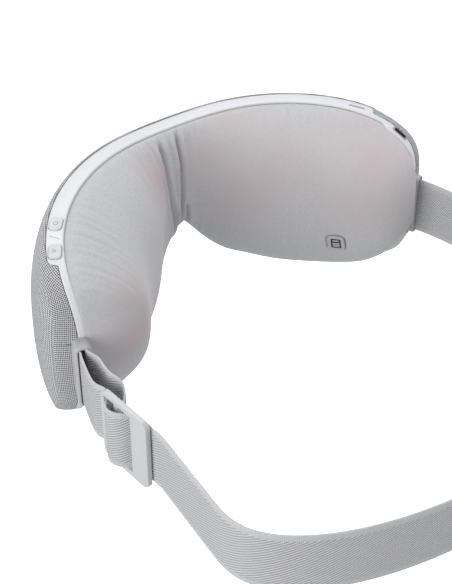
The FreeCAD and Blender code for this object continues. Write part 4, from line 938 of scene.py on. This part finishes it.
def smooth_path(points, step=1.2):
    """A smooth curve through plan points, sampled about every step millimetres."""
    knots = np.array(points, float)
    gaps = np.linalg.norm(np.diff(knots, axis=0), axis=1)
    times = np.concatenate([[0], np.cumsum(np.sqrt(gaps))])
    slopes = np.gradient(knots, times, axis=0)
    path = []
    for i, gap in enumerate(gaps):
        count = max(2, int(gap / step))
        t = np.linspace(0, 1, count, endpoint=False)[:, None]
        span = times[i + 1] - times[i]
        path.append((2 * t ** 3 - 3 * t ** 2 + 1) * knots[i]
                    + (t ** 3 - 2 * t ** 2 + t) * span * slopes[i]
                    + (3 * t ** 2 - 2 * t ** 3) * knots[i + 1]
                    + (t ** 3 - t ** 2) * span * slopes[i + 1])
    return np.concatenate(path + [knots[-1:]])


def strap_section(wall):
    """Section of the webbing: rounded edges and slightly thinner selvedges."""
    half, edge = STRAP_WIDTH / 2, wall / 2
    heights = [-half, -half + 0.25, -half + 1.2, -half + 2.8, -half + 3.6]
    heights += list(np.linspace(-half + 6, half - 6, 7))
    heights += [half - 3.6, half - 2.8, half - 1.2, half - 0.25, half]
    depths = []
    for height in heights:
        rim = half - abs(height)
        thin = SELVEDGE_THIN if rim < SELVEDGE else 1.0
        depths.append(edge * thin * min(1.0, math.sqrt(min(1.0, (rim + 0.04) / 0.6))))
    return list(zip(heights, depths))


def strap(name, plan, wall, heights, start=0.0, stretch=(0.0, 1.0)):
    """Webbing of even width along a stretch of a plan path, patterned by its length."""
    path = smooth_path(plan)
    tangent = np.gradient(path, axis=0)
    tangent /= np.linalg.norm(tangent, axis=1, keepdims=True)
    side = np.stack([-tangent[:, 1], tangent[:, 0]], 1)
    lengths = np.concatenate([[0], np.cumsum(np.linalg.norm(np.diff(path, axis=0), axis=1))])
    middle = np.interp(lengths / lengths[-1], np.linspace(0, 1, len(heights)), heights)
    kept = slice(int(stretch[0] * (len(path) - 1)), int(stretch[1] * (len(path) - 1)) + 1)
    section = strap_section(wall)
    ring = [(h, d) for h, d in section] + [(h, -d) for h, d in reversed(section)]
    ring.append(ring[0])
    columns, uvs = [], []
    for height, depth in ring:
        place = np.concatenate([path + side * depth, (middle + height)[:, None]], 1)
        columns.append(place[kept])
        uvs.append(np.stack([lengths + start, np.full(len(path), height)], 1)[kept])
    points, marks = np.stack(columns, 1), np.stack(uvs, 1)
    obj = grid(name, points, marks, 50.0)
    close_ends(obj)
    return dress(obj, webbing)


def close_ends(obj):
    """Fill the open ends of a strap piece."""
    work = bmesh.new()
    work.from_mesh(obj.data)
    bmesh.ops.holes_fill(work, edges=[e for e in work.edges if e.is_boundary])
    bmesh.ops.recalc_face_normals(work, faces=work.faces)
    work.to_mesh(obj.data)
    work.free()
    obj.data.set_sharp_from_angle(angle=math.radians(50))


def rear_points(count):
    """Half an ellipse behind the head, from the left side to the right."""
    turns = [math.radians(180 * step / (count - 1)) for step in range(count)]
    return [(REACH * math.cos(turn), CURVE_Y + CURVE_DEPTH * math.sin(turn)) for turn in turns]


def straps():
    """Two legs from the left socket, the wrap in the buckle, and the run to the right."""
    rise = (SOCKET_HEIGHT[1], RUN_HEIGHT)
    level = (RUN_HEIGHT, RUN_HEIGHT)
    outer = [socket_exit(1, LEG_OFFSET, -4.0), socket_exit(1, LEG_OFFSET),
             socket_exit(1, LEG_OFFSET + 0.3, 6.0)]
    leg = strap("outer_leg", outer + in_slider(OUTER_END), THIN_WEB, rise)
    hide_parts("strap_outer_leg")
    inner = [socket_exit(1, -LEG_OFFSET, -4.0), socket_exit(1, -LEG_OFFSET),
             socket_exit(1, -LEG_OFFSET - 3.0, 9.0)]
    arch = (SOCKET_HEIGHT[1], RUN_HEIGHT + 0.5, RUN_HEIGHT + 1.5, RUN_HEIGHT)
    under = strap("inner_leg", inner + in_slider(INNER_END), THIN_WEB, arch, UNDER_START)
    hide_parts("strap_inner_leg")
    for piece in (leg, under):
        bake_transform(piece)
    wrap = strap("buckle_wrap", in_slider(WRAP_PATH), THIN_WEB, level, WRAP_START)
    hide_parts("strap_wrap")
    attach(wrap, "buckle")
    behind = in_slider(RUN_PATH)
    behind += [(REACH - 3.2, CURVE_Y - 36.0), (REACH - 1.3, CURVE_Y - 18.0)]
    behind += rear_points(17)
    behind += [(-REACH, CURVE_Y - step) for step in (16.0, 32.0, 46.0, 62.0)]
    behind += [(-REACH + 0.8, 112.0), (-REACH + 3.0, 95.0)]
    behind += [socket_exit(-1, 0.0, 8.0), socket_exit(-1, 0.0), socket_exit(-1, 0.0, -3.0)]
    heights = (RUN_HEIGHT,) * 6 + (SOCKET_HEIGHT[-1],)
    run = strap("left_run", behind, FULL_WEB, heights, RUN_START, (0.0, LEFT_SHARE))
    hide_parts("strap_left_run")
    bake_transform(run)
    back = strap("rear_run", behind, FULL_WEB, heights, RUN_START, (LEFT_SHARE, 1.0))
    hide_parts("strap_rear", "strap_right_run")
    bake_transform(back)


def buckle():
    body = copy_of("strap_buckle", "strap_slider", BUCKLE_BEVEL)
    dress(body, slider_plastic)
    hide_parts("strap_slider")
    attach(body, "buckle")


# ---- hidden parts ----

HIDDEN_LOOKS = {
    "frame_plastic": (FRAME_COLOUR, 0.42, 0), "shell_plastic": ((0.5, 0.5, 0.52), 0.5, 0),
    "soft_film": ((0.75, 0.78, 0.8), 0.4, 0), "heater": ((0.7, 0.36, 0.08), 0.45, 0),
    "steel": ((0.62, 0.62, 0.64), 0.3, 1), "chip": ((0.03, 0.03, 0.03), 0.4, 0),
    "circuit_board": ((0.03, 0.22, 0.1), 0.35, 0), "hose": ((0.7, 0.72, 0.73), 0.5, 0),
    "battery_wrap": ((0.08, 0.2, 0.45), 0.3, 0), "ribbon": ((0.6, 0.34, 0.06), 0.4, 0)}


def bridge_lines():
    """The air hose and the flat cable bend where they cross the bridge."""
    for node, slot in (("air_hose", "hose"), ("ribbon_cable", "ribbon")):
        line = copy_of(node + "_run", node)
        dress(line, plastic("part_" + slot, HIDDEN_LOOKS[slot][0], 0.5))
        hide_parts(node)
        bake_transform(line)


def dress_hidden():
    """Finishes for the CAD parts that stay as they are, by their record slot."""
    made = {}
    for part in frame["record"]["subparts"]:
        obj = frame["nodes"][part["node"]]
        if obj.hide_render or part["material_slot"] not in HIDDEN_LOOKS:
            continue
        slot = part["material_slot"]
        if slot not in made:
            colour, roughness, metal = HIDDEN_LOOKS[slot]
            made[slot] = plastic("part_" + slot, colour, roughness, 0.06, float(metal))
        obj.data.materials.clear()
        obj.data.materials.append(made[slot])


# ---- stage ----

def area_light(name, place, target, power, width):
    data = bpy.data.lights.new(name, "AREA")
    data.energy, data.size = power, width
    lamp = bpy.data.objects.new(name, data)
    lamp.location = place
    aim = Vector(target) - Vector(place)
    lamp.rotation_euler = aim.to_track_quat("-Z", "Y").to_euler()
    bpy.context.scene.collection.objects.link(lamp)


FLOOR_REACH, FLOOR_LEVEL = 9000, -330
FLOOR_GLOW, WORLD_COLOUR, WORLD_STRENGTH = 0.7, (0.97, 0.98, 1.0, 1), 0.5
LIGHTS = (  # name, place in metres, power, width
    ("key", (-0.45, -0.5, 1.25), 10.0, 0.9),
    ("side", (-0.9, 0.7, 0.12), 2.6, 0.8),
    ("fill", (1.1, 0.25, 0.3), 8.0, 0.9),
)
LIGHT_TARGET = (0.0, 0.05, 0.0)
LENS, AZIMUTH, ELEVATION, DISTANCE = 82.15, 36.91, 38.24, 0.691
CAMERA_TARGET = (0.00098, 0.040, -0.0294)


def stage():
    """A pale floor that lights nothing by itself, soft daylight and three lamps."""
    corners = [(across * FLOOR_REACH, along * FLOOR_REACH, FLOOR_LEVEL)
               for across, along in ((-1, -1), (1, -1), (1, 1), (-1, 1))]
    floor = finish_mesh("floor", corners, [(0, 1, 2, 3)])
    material, _, shader = new_material("pale_floor", (0.95, 0.95, 0.95), 0.9)
    shader.inputs["Emission Color"].default_value = (1, 1, 1, 1)
    shader.inputs["Emission Strength"].default_value = FLOOR_GLOW
    floor.data.materials.append(material)
    floor.visible_diffuse = False
    floor.visible_glossy = False
    world = bpy.data.worlds.new("studio")
    bpy.context.scene.world = world
    world.use_nodes = True
    sky = world.node_tree.nodes["Background"]
    sky.inputs[0].default_value = WORLD_COLOUR
    sky.inputs[1].default_value = WORLD_STRENGTH
    for name, place, power, width in LIGHTS:
        area_light(name, place, LIGHT_TARGET, power, width)


def camera():
    data = bpy.data.cameras.new("studio_camera")
    data.lens, data.sensor_width = LENS, 36.0
    data.clip_start, data.clip_end = 0.05, 50.0
    eye = bpy.data.objects.new("studio_camera", data)
    azimuth, elevation = math.radians(AZIMUTH), math.radians(ELEVATION)
    away = Vector((math.sin(azimuth) * math.cos(elevation),
                   math.cos(azimuth) * math.cos(elevation), math.sin(elevation)))
    eye.location = Vector(CAMERA_TARGET) + away * DISTANCE
    eye.rotation_euler = (-away).to_track_quat("-Z", "Y").to_euler()
    bpy.context.scene.collection.objects.link(eye)
    bpy.context.scene.camera = eye


frame_band()
seam_line()
knit_front()
soft_pad()
keys()
sockets()
right_fittings()
straps()
buckle()
bridge_lines()
dress_hidden()
stage()
camera()
bpy.context.scene.view_settings.view_transform = "Standard"
